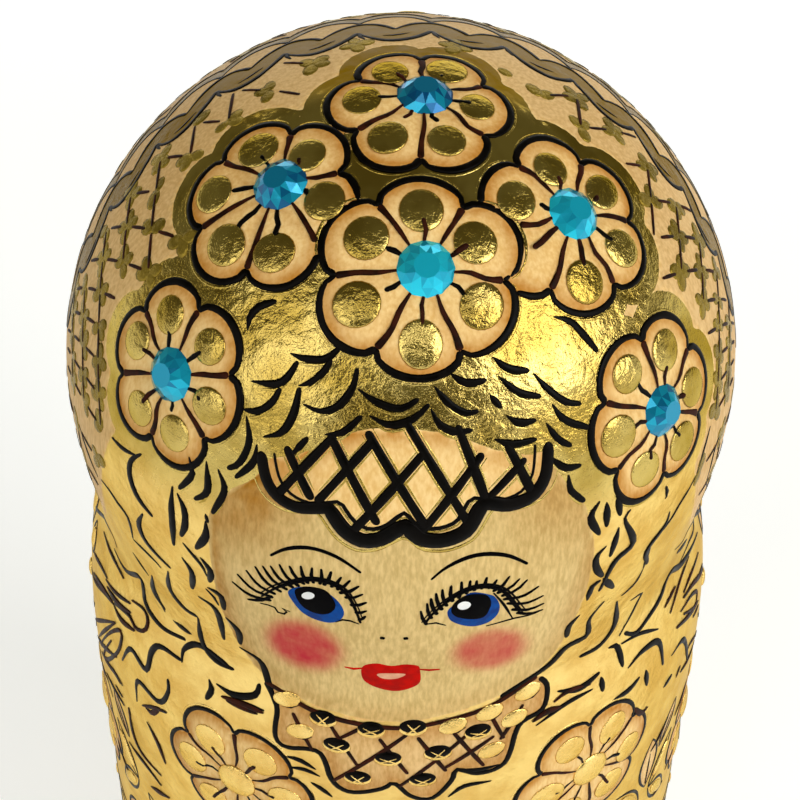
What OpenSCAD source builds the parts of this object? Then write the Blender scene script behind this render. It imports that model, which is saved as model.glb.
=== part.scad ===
// A nesting doll set turned from wood: four hollow dolls that part at a collar,
// a solid doll inside them, and cut stones glued into the kerchiefs.
// The set stands on Z = 0 and faces -Y.

/* [Doll] */
// Height of the outer doll
doll_h = 180; // [170:1:200]
// Diameter of the round head
head_d = 70; // [66:0.5:74]
// How far the neck lies inside the side of the head
neck_in = 1; // [0.5:0.1:3]
// Distance of the neck below the middle of the head
neck_drop = 14.7; // [10:0.1:18]
// Diameter at the chest
chest_d = 75.2; // [72:0.2:78]
// Height of the chest
chest_z = 106; // [98:1:114]
// Diameter at the belly
belly_d = 79; // [76:0.5:84]
// Height of the widest part of the belly
belly_z = 54; // [46:1:62]
// Diameter of the base
base_d = 60; // [54:0.5:66]
// Radius of the rounded edge round the base
base_edge = 1.6; // [0.8:0.1:2.5]

/* [Turning] */
// Thickness of the turned wall
wall = 5; // [4.4:0.1:6]
// Thickness of the floor that the next doll stands on
floor_t = 8; // [5:0.5:10]
// Thickness of the crown of the head
crown_t = 8; // [6:0.5:12]

/* [Collar] */
// Height of the seam between the two halves
seam_z = 72; // [60:1:80]
// Height of the collar on the lower half
collar_h = 12; // [8:0.5:16]
// Thickness of the collar
collar_t = 2.4; // [2:0.1:3]
// Chamfer that leads the collar into the upper half
collar_lead = 0.6; // [0.3:0.1:1]
// Radial clearance between the collar and the upper half
collar_fit = 0.08; // [0.04:0.01:0.1]
// Clearance above the collar when the doll is shut
collar_room = 0.4; // [0.2:0.1:1]

/* [Nest] */
// Clearance all round between one doll and the next
nest_gap = 1.2; // [0.8:0.1:3]
// Clearance under a doll where it stands in the next one
nest_rest = 0.05; // [0.02:0.01:0.2]

/* [Stones] */
// Diameter of a stone on the outer doll
stone_d = 4.9; // [3.6:0.1:6]
// Height of the straight girdle of a stone
girdle_h = 0.7; // [0.4:0.1:1]
// Height of the cut crown of a stone
facet_h = 1; // [0.6:0.1:1.4]
// Diameter of the flat table on top of a stone
table_d = 2.2; // [1.4:0.1:3]
// Number of facets round a stone
facet_count = 10; // [6:1:12]
// Depth of the seat that a stone is glued into
seat_depth = 0.55; // [0.3:0.05:0.9]
// Clearance round a stone in its seat
seat_fit = 0.05; // [0.02:0.01:0.1]

/* [Hidden] */
$fn = 96;

// Steps along each stretch of the turned outline
foot_steps = 14;
flank_steps = 14;
shoulder_steps = 14;
cheek_steps = 8;
head_steps = 22;
edge_steps = 4;

// How far the handles of the outline's curves reach along their stretch
foot_lean_share = 0.45;
foot_rise_share = 0.3;
belly_drop_share = 0.5;
belly_rise_share = 0.45;
chest_lean_share = 0.03;
chest_drop_share = 0.35;
chest_rise_share = 0.75;
neck_share = 0.12;
cheek_share = 0.4;

// Dolls from the outside in, and the stones that each one carries
doll_names = ["outer", "second", "third", "fourth", "smallest"];
stone_names = ["centre", "top", "upper_left", "upper_right", "left", "right"];
doll_stones = [[0, 1, 2, 3, 4, 5], [0, 2, 3], [0, 2, 3], [0], [0]];
// Direction of each stone from the middle of the head, in degrees
stone_turns = [5, 15, -36, 44, -40, 45.5];
stone_rises = [51, 79, 59.5, 53.5, 28.5, 21.5];

// Radii and heights that follow from the sizes above
head_r = head_d / 2;
neck_r = head_r - neck_in;
chest_r = chest_d / 2;
belly_r = belly_d / 2;
base_r = base_d / 2;
head_z = doll_h - head_r;
neck_z = head_z - neck_drop;
ceiling_z = doll_h - crown_t;
collar_top = seam_z + collar_h;
step_z = collar_top + collar_room;
stone_proud = girdle_h + facet_h - seat_depth;

// Control points of the curves that make up the outline, as [radius, height]
foot_curve = [
    [base_r, base_edge],
    [base_r + foot_lean_share * (belly_r - base_r), base_edge + foot_rise_share * (belly_z - base_edge)],
    [belly_r, belly_z - belly_drop_share * (belly_z - base_edge)],
    [belly_r, belly_z]
];
flank_curve = [
    [belly_r, belly_z],
    [belly_r, belly_z + belly_rise_share * (chest_z - belly_z)],
    [chest_r, chest_z] + chest_drop_share * (chest_z - belly_z) * [chest_lean_share, -1],
    [chest_r, chest_z]
];
shoulder_curve = [
    [chest_r, chest_z],
    [chest_r, chest_z] + chest_rise_share * (neck_z - chest_z) * [-chest_lean_share, 1],
    [neck_r, neck_z - neck_share * (neck_z - chest_z)],
    [neck_r, neck_z]
];
cheek_curve = [
    [neck_r, neck_z],
    [neck_r, neck_z + cheek_share * neck_drop],
    [head_r, head_z - cheek_share * neck_drop],
    [head_r, head_z]
];

// A point on a cubic curve, and the direction of the curve there
function curve_point(p, t) =
    pow(1 - t, 3) * p[0] + 3 * pow(1 - t, 2) * t * p[1] + 3 * (1 - t) * t * t * p[2] + pow(t, 3) * p[3];
function curve_way(p, t) =
    pow(1 - t, 2) * (p[1] - p[0]) + 2 * (1 - t) * t * (p[2] - p[1]) + t * t * (p[3] - p[2]);
function outward(way) = [way[1], -way[0]] / norm(way);
function inset_curve(p, steps, inset) = [
    for (i = [0:steps - 1]) curve_point(p, i / steps) - inset * outward(curve_way(p, i / steps))
];

// The dome of the head from its middle up to a given rise, and the side of the doll below it
function dome(radius, top_rise) = [
    for (i = [0:head_steps]) [radius * cos(top_rise * i / head_steps), head_z + radius * sin(top_rise * i / head_steps)]
];
function side(inset) = concat(
    inset_curve(foot_curve, foot_steps, inset),
    inset_curve(flank_curve, flank_steps, inset),
    inset_curve(shoulder_curve, shoulder_steps, inset),
    inset_curve(cheek_curve, cheek_steps, inset)
);
base_corner = [
    for (i = [0:edge_steps - 1])
        [base_r - base_edge + base_edge * sin(90 * i / edge_steps), base_edge - base_edge * cos(90 * i / edge_steps)]
];
ceiling_rise = asin((ceiling_z - head_z) / (head_r - wall));

outer_points = concat(base_corner, side(0), dome(head_r, 90));
inner_points = concat(side(wall), dome(head_r - wall, ceiling_rise));

// Radius of the outside and of the hollow at a height
outer_table = [for (p = outer_points) [p[1], p[0]]];
inner_table = [for (p = inner_points) [p[1], p[0]]];
function outer_radius(z) = lookup(z, outer_table);
function inner_radius(z) = lookup(z, inner_table);
function between(points, low, high) = [for (p = points) if (p[1] > low && p[1] < high) p];
function backwards(points) = [for (i = [len(points) - 1:-1:0]) points[i]];

// The collar's outside, the bore that takes it, and the narrowest radius that the next doll passes
collar_r = inner_radius(seam_z) + collar_t;
socket_r = collar_r + collar_fit;
mouth_r = min(inner_radius(seam_z), inner_radius(collar_top));

// Size of each doll as a share of the one round it, and the height that it stands at
nest_share = min(
    (neck_r - wall - nest_gap) / head_r,
    (mouth_r - nest_gap) / max(belly_r, head_r),
    (inner_radius(floor_t) - nest_gap) / base_r,
    (ceiling_z - floor_t - nest_rest - nest_gap - stone_proud) / doll_h
);
function doll_size(level) = pow(nest_share, level);
function doll_base(level) = level == 0 ? 0 : doll_base(level - 1) + (floor_t + nest_rest) * doll_size(level - 1);

hollow_levels = [0:len(doll_names) - 2];
last_level = len(doll_names) - 1;
function lower_name(level) = str(doll_names[level], "_lower_half");
function upper_name(level) = str(doll_names[level], "_upper_half");
function stone_name(level, place) = str(doll_names[level], "_stone_", stone_names[place]);
solid_name = str(doll_names[last_level], "_doll");

// Cross-sections to be turned round the axis
lower_outline = concat(
    [[0, 0]],
    between(outer_points, -base_edge, seam_z),
    [[outer_radius(seam_z), seam_z], [collar_r, seam_z]],
    [[collar_r, collar_top - collar_lead], [collar_r - collar_lead, collar_top]],
    [[inner_radius(collar_top), collar_top]],
    backwards(between(inner_points, floor_t, collar_top)),
    [[inner_radius(floor_t), floor_t], [0, floor_t]]
);
upper_outline = concat(
    [[outer_radius(seam_z), seam_z]],
    between(outer_points, seam_z, doll_h),
    [[0, doll_h], [0, ceiling_z]],
    backwards(between(inner_points, step_z, ceiling_z + crown_t)),
    [[inner_radius(step_z), step_z], [socket_r, step_z], [socket_r, seam_z]]
);
solid_outline = concat([[0, 0]], between(outer_points, -base_edge, doll_h), [[0, doll_h]]);

// Puts a doll of the given level inside the ones round it
module nested(level) {
    translate([0, 0, doll_base(level)])
        scale(doll_size(level))
            children();
}

// Puts a stone's own axis through its place on the head, with its back at the bottom of the seat
module on_head(place) {
    translate([0, 0, head_z])
        rotate([0, 0, stone_turns[place]])
            rotate([90 - stone_rises[place], 0, 0])
                translate([0, 0, head_r - seat_depth])
                    children();
}

// The seats drilled into the kerchief for the stones
module stone_seats(level) {
    for (place = doll_stones[level])
        on_head(place)
            cylinder(d = stone_d + 2 * seat_fit, h = girdle_h + facet_h);
}

module lower_half(level) {
    color("goldenrod")
        nested(level)
            rotate_extrude()
                polygon(lower_outline);
}

module upper_half(level) {
    color("gold")
        nested(level)
            difference() {
                rotate_extrude()
                    polygon(upper_outline);
                stone_seats(level);
            }
}

module solid_doll() {
    color("gold")
        nested(last_level)
            difference() {
                rotate_extrude()
                    polygon(solid_outline);
                stone_seats(last_level);
            }
}

module stone(level, place) {
    color("deepskyblue")
        nested(level)
            on_head(place) {
                cylinder(d = stone_d, h = girdle_h);
                translate([0, 0, girdle_h])
                    cylinder(d1 = stone_d, d2 = table_d, h = facet_h, $fn = facet_count);
            }
}

for (level = hollow_levels) {
    lower_half(level);
    upper_half(level);
}
solid_doll();
for (level = [0:last_level], place = doll_stones[level])
    stone(level, place);
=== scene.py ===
"""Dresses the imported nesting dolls: a gilded, burnt and painted skin on each turned half, cut stones,
and the camera and light of the photograph. The ornament is drawn once, in millimetres, on the outer doll."""

import math

import bpy
import numpy as np
from mathutils import Matrix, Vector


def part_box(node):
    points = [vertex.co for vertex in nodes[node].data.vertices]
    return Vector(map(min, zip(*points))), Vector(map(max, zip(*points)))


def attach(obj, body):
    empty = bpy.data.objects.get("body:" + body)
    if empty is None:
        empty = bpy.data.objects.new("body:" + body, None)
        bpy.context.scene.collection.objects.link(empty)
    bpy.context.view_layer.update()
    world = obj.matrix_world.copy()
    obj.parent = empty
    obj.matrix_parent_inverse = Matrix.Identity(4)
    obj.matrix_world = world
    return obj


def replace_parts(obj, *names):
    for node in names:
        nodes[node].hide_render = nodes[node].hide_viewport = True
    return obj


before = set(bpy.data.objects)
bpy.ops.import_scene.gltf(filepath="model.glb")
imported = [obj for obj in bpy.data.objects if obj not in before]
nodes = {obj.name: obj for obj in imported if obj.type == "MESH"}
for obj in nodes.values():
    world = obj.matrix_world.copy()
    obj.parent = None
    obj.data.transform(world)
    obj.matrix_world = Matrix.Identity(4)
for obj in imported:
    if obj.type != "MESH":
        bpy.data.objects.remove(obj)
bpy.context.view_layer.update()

MM = 0.001
LEVELS = ("outer", "second", "third", "fourth", "smallest")
SOLID_LEVEL = "smallest"
# Sides of the turned mesh, spacing of its rows, spacing of stroke points and sides of a stroke, by level
DETAIL = {
    "outer": (336, 0.7, 0.6, 7),
    "second": (192, 1.2, 1.5, 5),
    "third": (160, 1.45, 1.8, 4),
    "fourth": (136, 1.75, 2.2, 4),
    "smallest": (120, 2.0, 2.6, 4),
}
rng = np.random.default_rng(11)


def unit(vectors):
    """Vectors of length one."""
    return vectors / np.maximum(np.linalg.norm(vectors, axis=-1, keepdims=True), 1e-12)


def smooth(value, low, high):
    """A soft step from 0 at low to 1 at high."""
    t = np.clip((value - low) / (high - low), 0, 1)
    return t * t * (3 - 2 * t)


def curve_through(points, closed=False, fine=10):
    """A smooth path through the given points."""
    p = np.asarray(points, float)
    if closed:
        p = np.vstack([p[-1], p, p[0], p[1]])
    elif len(p) == 2:
        return p[0] + np.linspace(0, 1, fine + 1)[:, None] * (p[1] - p[0])
    else:
        p = np.vstack([2 * p[0] - p[1], p, 2 * p[-1] - p[-2]])
    t = np.linspace(0, 1, fine, endpoint=False)[:, None]
    out = []
    for a, b, c, d in zip(p, p[1:], p[2:], p[3:]):
        square = 2 * a - 5 * b + 4 * c - d
        cube = 3 * b - a - 3 * c + d
        out.append(0.5 * (2 * b + (c - a) * t + square * t**2 + cube * t**3))
    return np.vstack(out if closed else [*out, p[-2:-1]])


def lengths_along(points):
    """Distance along a path at each of its points."""
    return np.concatenate([[0], np.cumsum(np.linalg.norm(np.diff(points, axis=0), axis=1))])


def at_lengths(points, wanted):
    """Points of a path at the wanted distances along it."""
    s = lengths_along(points)
    return np.column_stack([np.interp(wanted, s, points[:, k]) for k in range(points.shape[1])])


def read(items, key):
    """A vector of each vertex or face of a mesh."""
    values = np.empty(len(items) * 3)
    items.foreach_get(key, values)
    return values.reshape(-1, 3)


# The turned outline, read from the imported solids
def rings_of(node, facing):
    """Radius and height of a turned node's rings, in millimetres, on its outward or inward faces."""
    mesh = nodes[node].data
    centre = read(mesh.polygons, "center")
    normal = read(mesh.polygons, "normal")
    reach = np.maximum(np.hypot(centre[:, 0], centre[:, 1]), 1e-9)
    outward = (centre[:, :2] * normal[:, :2]).sum(1) / reach
    keep = (centre[:, 1] > 0.5 * MM) & (outward * facing > 0.01)
    corners = np.empty(len(mesh.loops), int)
    mesh.loops.foreach_get("vertex_index", corners)
    place = read(mesh.vertices, "co")[np.unique(corners.reshape(-1, 3)[keep])] / MM
    rings = np.column_stack([np.hypot(place[:, 0], place[:, 1]), place[:, 2]])
    rings = rings[np.lexsort((-rings[:, 0], np.round(rings[:, 1], 3)))]
    kept = [rings[0]]
    for ring in rings[1:]:
        if np.hypot(*(ring - kept[-1])) > 0.05:
            kept.append(ring)
    return np.array(kept)


SEAM_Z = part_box("outer_upper_half")[0].z / MM
TOP_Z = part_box("outer_upper_half")[1].z / MM
lower_rings = rings_of("outer_lower_half", 1)
upper_rings = rings_of("outer_upper_half", 1)
# How near a ring is to the seam's height, and to the outer wall, to count as on it
SEAM_SLACK, WALL_SLACK = 0.01, 0.1
below_seam = lower_rings[:, 1] < SEAM_Z - SEAM_SLACK
up_to_seam = lower_rings[:, 1] < SEAM_Z + SEAM_SLACK
on_wall = lower_rings[:, 0] > upper_rings[0, 0] - WALL_SLACK
lower_outside = lower_rings[up_to_seam & (below_seam | on_wall)]
collar_rings = lower_rings[~below_seam & ~on_wall]
lower_inside = rings_of("outer_lower_half", -1)
upper_inside = rings_of("outer_upper_half", -1)


# Points between rings of the outline, its step, and points set against it at a time
OUTLINE_FINE, OUTLINE_STEP, BATCH = 12, 0.2, 4000


class Skin:
    """The outside of the outer doll, in millimetres."""

    def __init__(self, rings):
        mirrored = rings[-2] * [-1, 1]
        path = curve_through(np.vstack([rings, mirrored]), fine=OUTLINE_FINE)
        path = path[:-OUTLINE_FINE]
        total = lengths_along(path)[-1]
        self.s = np.linspace(0, total, int(total / OUTLINE_STEP))
        path = at_lengths(path, self.s)
        self.r = np.maximum(path[:, 0], 0)
        self.z = path[:, 1]
        way = unit(np.gradient(path, axis=0))
        way[-1] = [-1, 0]
        self.way = way
        self.seam = np.interp(SEAM_Z, self.z, self.s)
        self.length = total

    def ring(self, s):
        """Radius, height and outward direction in section at distances along the outline."""
        way = np.column_stack([np.interp(s, self.s, self.way[:, k]) for k in (0, 1)])
        way = unit(way)
        out = np.column_stack([way[:, 1], -way[:, 0]])
        return np.interp(s, self.s, self.r), np.interp(s, self.s, self.z), out

    def stick(self, points):
        """The nearest points of the skin, and the outward normals there."""
        p = np.atleast_2d(np.asarray(points, float))
        rho = np.hypot(p[:, 0], p[:, 1])
        nearest = np.empty(len(p), int)
        for start in range(0, len(p), BATCH):
            part = slice(start, start + BATCH)
            gap = (rho[part, None] - self.r) ** 2 + (p[part, 2, None] - self.z) ** 2
            nearest[part] = gap.argmin(1)
        way = self.way[nearest]
        slip = (rho - self.r[nearest]) * way[:, 0] + (p[:, 2] - self.z[nearest]) * way[:, 1]
        slip = np.clip(slip, -0.15, 0.15)
        r, z, out = self.ring(np.clip(self.s[nearest] + slip, 0, self.length))
        turn = p[:, :2] / np.maximum(rho, 1e-9)[:, None]
        return np.column_stack([turn * r[:, None], z]), np.column_stack([turn * out[:, :1], out[:, 1]])

    def at(self, turn, z):
        """Points at a turn from the front, in degrees to the viewer's right, and a height."""
        turn, z = np.broadcast_arrays(np.radians(turn), np.asarray(z, float))
        r = np.interp(z, self.z, self.r)
        return np.column_stack([(r * np.sin(turn)).ravel(), (-r * np.cos(turn)).ravel(), z.ravel()])


skin = Skin(np.vstack([lower_outside, upper_rings[upper_rings[:, 1] > SEAM_Z + SEAM_SLACK]]))
HEAD_R = 35.0
HEAD = np.array([0.0, 0.0, TOP_Z - HEAD_R])

# The camera that the photograph was taken with, as fitted to the head and the stones
PIXELS = 800
FOCAL = 1302.0
VIEW_RISE = math.radians(40)
VIEW_REACH = 140.7
# How far the head's middle lies above the frame's, in pixels
HEAD_ABOVE = 49
VIEW_DIP = math.atan(HEAD_ABOVE / FOCAL)
VIEW_ROLL = math.radians(1)


def camera_axes():
    """The eye and the right, up and forward directions of the camera."""
    back = np.array([0, -math.cos(VIEW_RISE), math.sin(VIEW_RISE)])
    right = np.array([1.0, 0, 0])
    up = np.cross(right, -back)
    aim = -math.cos(VIEW_DIP) * back - math.sin(VIEW_DIP) * up
    up = np.cross(right, aim)
    c, s = math.cos(VIEW_ROLL), math.sin(VIEW_ROLL)
    return HEAD + VIEW_REACH * back, c * right + s * up, -s * right + c * up, aim


EYE, EYE_RIGHT, EYE_UP, EYE_AIM = camera_axes()


def seen(pixels):
    """Points of the skin under pixels of the photograph's frame."""
    px = np.asarray(pixels, float)
    d = EYE_AIM + (px[:, :1] - PIXELS / 2) / FOCAL * EYE_RIGHT + (PIXELS / 2 - px[:, 1:2]) / FOCAL * EYE_UP
    d = unit(d)
    t = np.linspace(85, 240, 780)

    def gap(reach):
        p = EYE + reach[..., None] * d[:, None, :]
        return np.hypot(p[..., 0], p[..., 1]) - np.interp(p[..., 2], skin.z, skin.r, right=-1, left=-1)

    first = gap(np.broadcast_to(t, (len(px), len(t))))
    hit = first < 0
    near = np.where(hit.any(1), hit.argmax(1), first.argmin(1))
    low, high = t[np.maximum(near - 1, 0)], t[near]
    for _ in range(20):
        middle = (low + high) / 2
        inside = gap(middle[:, None])[:, 0] < 0
        high = np.where(inside, middle, high)
        low = np.where(inside, low, middle)
    return skin.stick(EYE + high[:, None] * d)[0]


def pixels_of(points):
    """Where points of the skin lie in the photograph's frame."""
    d = points - EYE
    depth = d @ EYE_AIM
    return np.column_stack([
        PIXELS / 2 + FOCAL * (d @ EYE_RIGHT) / depth, PIXELS / 2 - FOCAL * (d @ EYE_UP) / depth])


class Chart:
    """Flat coordinates laid on the skin round one point: u to the viewer's right and v up."""

    def __init__(self, middle):
        foot, normal = skin.stick(middle)
        self.middle = foot[0]
        self.normal = normal[0]
        self.right = unit(np.cross([0, 0, 1], self.normal))
        self.up = np.cross(self.normal, self.right)

    def at(self, u, v):
        u, v = np.broadcast_arrays(u, v)
        flat = self.middle + np.ravel(u)[:, None] * self.right + np.ravel(v)[:, None] * self.up
        return skin.stick(flat)[0]

    def uv(self, points):
        d = points - self.middle
        return d @ self.right, d @ self.up, np.linalg.norm(d, axis=1)


# Flowers: six burnt petals, a gold drop on each, and a stone or a gold heart in the middle
PETALS = 6
NOTCH_SHARE = 0.77
HEART_R = 2.5
PETAL_RISE = 0.16
LEAF_RISE = 0.25
# How blunt a petal is, how far its tip goes in or out, and how slanted its edge lies
PETAL_ROUNDING, TIP_RANGE, EDGE_SLANT = 0.55, (0.95, 1.05), 0.92


class Flower:
    """A flower's outline on the skin. Its heart may lie beside the middle of its petals."""

    def __init__(self, middle, radius, turn, stone=None, shift=(0.0, 0.0)):
        place = Chart(middle)
        self.heart = place.middle
        self.chart = Chart(place.at(*shift)[0])
        self.radius = radius
        self.turn = math.radians(turn)
        self.stone = stone
        self.tips = rng.uniform(*TIP_RANGE, PETALS)

    def edge(self, angle):
        """Distance from the middle to the outline at an angle."""
        share = ((angle - self.turn) * PETALS / (2 * math.pi)) % PETALS
        petal = np.minimum(share.astype(int), PETALS - 1)
        bulge = np.sin(math.pi * (share - petal))
        tip = 1 + (self.tips[petal] - 1) * bulge
        return self.radius * (NOTCH_SHARE + (1 - NOTCH_SHARE) * bulge**PETAL_ROUNDING) * tip

    def fields(self, points):
        """Signed distance to the outline, and distance to the nearest line between petals."""
        u, v, reach = self.chart.uv(points)
        rho = np.hypot(u, v)
        angle = np.arctan2(v, u)
        away = np.where(reach < 1.8 * self.radius, rho - self.edge(angle), reach - self.radius)
        share = ((angle - self.turn) * PETALS / (2 * math.pi)) % 1
        between = rho * np.minimum(share, 1 - share) * 2 * math.pi / PETALS
        return EDGE_SLANT * away, between, np.linalg.norm(points - self.heart, axis=1)


def stone_place(name):
    """Middle of a stone of the outer doll."""
    low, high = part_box(f"outer_stone_{name}")
    return (np.array(low) + np.array(high)) / 2 / MM


# Flowers round the stones: radius, turn, and how far they lie beside the stone
STONE_FLOWERS = {
    "centre": (9.0, 57, (-0.5, -0.6)),
    "top": (8.0, 20, (-0.6, -1.0)),
    "upper_left": (8.3, 47, (-0.4, -1.6)),
    "upper_right": (8.3, 40, (-0.9, -0.5)),
    "left": (8.1, 25, (0.0, 0.0)),
    "right": (8.5, 28, (-0.5, 0.4)),
}
flowers = [
    Flower(stone_place(name), radius, turn, name, shift)
    for name, (radius, turn, shift) in STONE_FLOWERS.items()
]


def head_point(turn, rise):
    """A point of the head at a turn from the front and a rise above its middle, in degrees."""
    t, e = np.radians(turn), np.radians(rise)
    return HEAD + HEAD_R * np.array([math.cos(e) * math.sin(t), -math.cos(e) * math.cos(t), math.sin(e)])


# The other flowers: by turn, rise and spin, by pixel, and in rows by height and turn
BACK_FLOWERS = ((180, 50, 10), (138, 33, 40), (-138, 33, 20), (180, 14, 40))
CHEST_FLOWERS = ((236.8, 780), (589.6, 768.5))
CHEST_Z, CHEST_TURNS = 96.0, (75, 118, 161, -75, -118, -161)
SKIRT_Z, SKIRT_TURNS = 37.0, (58, 105, 153, -58, -105, -153)
BACK_R, CHEST_R, CHEST_ROW_R, SKIRT_R = 8.0, 9.2, 9.0, 10.5
CHEST_SPIN, SKIRT_SPIN = 32, 30
for turn, rise, spin in BACK_FLOWERS:
    flowers.append(Flower(head_point(turn, rise), BACK_R, spin))
for middle in seen(CHEST_FLOWERS):
    flowers.append(Flower(middle, CHEST_R, CHEST_SPIN))
for turn in CHEST_TURNS:
    flowers.append(Flower(skin.at(turn, CHEST_Z)[0], CHEST_ROW_R, CHEST_SPIN))
for turn in SKIRT_TURNS:
    flowers.append(Flower(skin.at(turn, SKIRT_Z)[0], SKIRT_R, SKIRT_SPIN))


# Shapes drawn over the photograph, in pixels of its frame
FACE_EDGE = [
    (208, 530), (212, 570), (222, 610), (243, 650), (270, 680), (310, 703), (350, 716), (398, 722),
    (440, 716), (490, 700), (530, 677), (560, 645), (583, 600), (594, 555), (592, 530), (585, 504),
    (574, 491), (563, 478), (552, 462), (545, 450), (530, 455), (497, 450), (475, 443), (450, 434),
    (395, 428), (352, 432), (330, 444), (291, 456), (268, 459), (262, 470), (250, 481), (231, 489),
    (225.6, 496), (210, 512),
]
CHEST_BORDER = [
    (265.7, 681.5), (277, 706), (275, 733), (285, 746.5), (319, 752), (332.7, 781), (352, 792),
    (382, 788.6), (394, 783), (411, 796), (432, 798), (451, 781), (457, 769.5), (480, 773), (505, 762),
    (516, 731), (524, 720), (543, 708), (547, 685), (537, 676),
]
CHEST_TOP = [(490, 706), (440, 722), (398, 728), (350, 722), (310, 709), (280, 690)]


def polygon_distance(pixels, outline):
    """Signed distance in pixels to a closed outline, negative inside."""
    edge = curve_through(outline, closed=True, fine=4)
    a, b = edge, np.roll(edge, -1, axis=0)
    along = b - a
    best = np.full(len(pixels), 1e9)
    inside = np.zeros(len(pixels), bool)
    for start, way, end in zip(a, along, b):
        d = pixels - start
        t = np.clip((d @ way) / max(way @ way, 1e-9), 0, 1)
        best = np.minimum(best, np.hypot(*(d - t[:, None] * way).T))
        crosses = (start[1] > pixels[:, 1]) != (end[1] > pixels[:, 1])
        rise = np.where(crosses, end[1] - start[1], 1)
        inside ^= crosses & (pixels[:, 0] < start[0] + (pixels[:, 1] - start[1]) / rise * way[0])
    return np.where(inside, -best, best)


# The kerchief's wooden lattice and its scalloped band, in angles about the axis through the ears
PIXELS_PER_MM = 12.0
BAND_TOP = 98.7
BAND_BEND = 0.0067
BAND_TILT = 0.03
BAND_PITCH = 11.3
BAND_START = 3.9
PIPING = 3.5
BAND_END, SLANT_END = 76.0, 75.0
# Depths and starts of the scallops of the band's front, its back and the cells
FRONT_DEPTH, BACK_DEPTH, STRIP_DEPTH = 4.4, 3.9, 3.6
BACK_START, STRIP_START = 0.5, 5.0
# How blunt a scallop is, and one of the band's back
SCALLOP_ROUNDING, BACK_ROUNDING = 0.8, 0.9
# Gold left round each flower beside the lattice
FLOWER_MARGIN = 1.7
COLUMN_START, COLUMN_STEP = 33.0, 6.4
ROW_START, ROW_STEP, ROW_SLOPE = 38.0, 8.5, 0.62
# Round patches of gold on the head: turn, rise and spread, in degrees
GOLD_CAPS = ((4, 47, 24), (2, 8, 44))
# The lattice's foot drops by this much, in millimetres, between two turns from the front
LATTICE_FRONT, LATTICE_SIDE = 48.0, 62.0
LATTICE_DROP = 9.0
# Crossings of the lattice behind the band: turns from the front and rises, in degrees
BACK_TURN_STEP, BACK_RISE_STEP = 9.6, 7.6
BACK_TURNS = np.arange(45.6, 315.0, BACK_TURN_STEP)
BACK_RISES = np.arange(-11.0, 76.0, BACK_RISE_STEP)
# Where a dash lies between two crossings
SHORT_DASH_SHARES = np.array([0.24, 0.5, 0.76])
LONG_DASH_SHARES = np.array([0.08, 0.5, 0.92])


def band_edge(out, away):
    """Angle over the head at a distance behind the line that the band's scallops stand on."""
    slant = np.cos(np.radians(np.clip(out, -SLANT_END, SLANT_END)))
    return BAND_TOP - BAND_BEND * out**2 + BAND_TILT * out + away / slant


def band_phase(out):
    """How far along its scallop a place of the band lies, as an angle."""
    return math.pi * (out - BAND_START) / BAND_PITCH


def band_front(out):
    """Front edge of the band: round scallops with their points to the back."""
    return band_edge(out, -FRONT_DEPTH * np.abs(np.sin(band_phase(out))) ** SCALLOP_ROUNDING)


def band_back(out):
    """Back edge of the band: round scallops with their points to the front."""
    return band_edge(out, BACK_START + BACK_DEPTH * np.abs(np.cos(band_phase(out))) ** BACK_ROUNDING)


def strip_back(out, more=0.0):
    """Back edge of the wooden cells behind the band, or a line further back."""
    wave = np.abs(np.sin(band_phase(out))) ** SCALLOP_ROUNDING
    return band_edge(out, STRIP_START + more + STRIP_DEPTH * wave)


def band_depth(over, out):
    """How deep a place lies inside the band or the piping behind its cells, in degrees."""
    band = np.minimum(over - band_front(out), band_back(out) - over)
    band = np.maximum(band, np.minimum(over - strip_back(out), strip_back(out, PIPING) - over))
    return np.minimum(band, BAND_END - np.abs(out))


def over_head(points):
    """Angles of head points: over the head from the front, and out to the side, in degrees."""
    d = unit(points - HEAD)
    return np.degrees(np.arctan2(d[:, 2], -d[:, 1])), np.degrees(np.arcsin(np.clip(d[:, 0], -1, 1)))


def from_head(over, out):
    """Head points at those angles."""
    over, out = np.broadcast_arrays(np.radians(over), np.radians(out))
    over, out = over.ravel(), out.ravel()
    way = np.column_stack([np.sin(out), -np.cos(out) * np.cos(over), np.cos(out) * np.sin(over)])
    return skin.stick(HEAD + HEAD_R * way)[0]


def lattice_field(points, flower_gap):
    """Signed distance to the wooden lattice of the kerchief, negative inside."""
    d = unit(points - HEAD)
    gold = np.full(len(points), -99.0)
    for turn, rise, spread in GOLD_CAPS:
        axis = unit(head_point(turn, rise) - HEAD)
        gold = np.maximum(gold, (math.radians(spread) - np.arccos(np.clip(d @ axis, -1, 1))) * HEAD_R)
    over, out = over_head(points)
    band = np.radians(band_depth(over, out)) * HEAD_R * np.cos(np.radians(out))
    turn = np.abs(np.degrees(np.arctan2(points[:, 0], -points[:, 1])))
    foot = HEAD[2] + LATTICE_DROP * (1 - 2 * smooth(turn, LATTICE_FRONT, LATTICE_SIDE))
    return np.maximum.reduce([gold, band, foot - points[:, 2], FLOWER_MARGIN - flower_gap])


# The apron's lattice on the lower half, in turns and heights
APRON_TURN = 33.0
APRON_LOW, APRON_HIGH = 14.0, 58.0
APRON_FOOT_SHARE = 0.72


def apron_side(z):
    """Half of the apron's width at a height, in degrees of turn."""
    return APRON_TURN * (APRON_FOOT_SHARE + (1 - APRON_FOOT_SHARE) * smooth(z, APRON_LOW, APRON_HIGH))


def apron_field(points):
    """Signed distance to the apron, negative inside."""
    turn = np.degrees(np.arctan2(points[:, 0], -points[:, 1]))
    side = np.radians(np.abs(turn) - apron_side(points[:, 2])) * np.hypot(points[:, 0], points[:, 1])
    return np.maximum.reduce([side, APRON_LOW - points[:, 2], points[:, 2] - APRON_HIGH])


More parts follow.
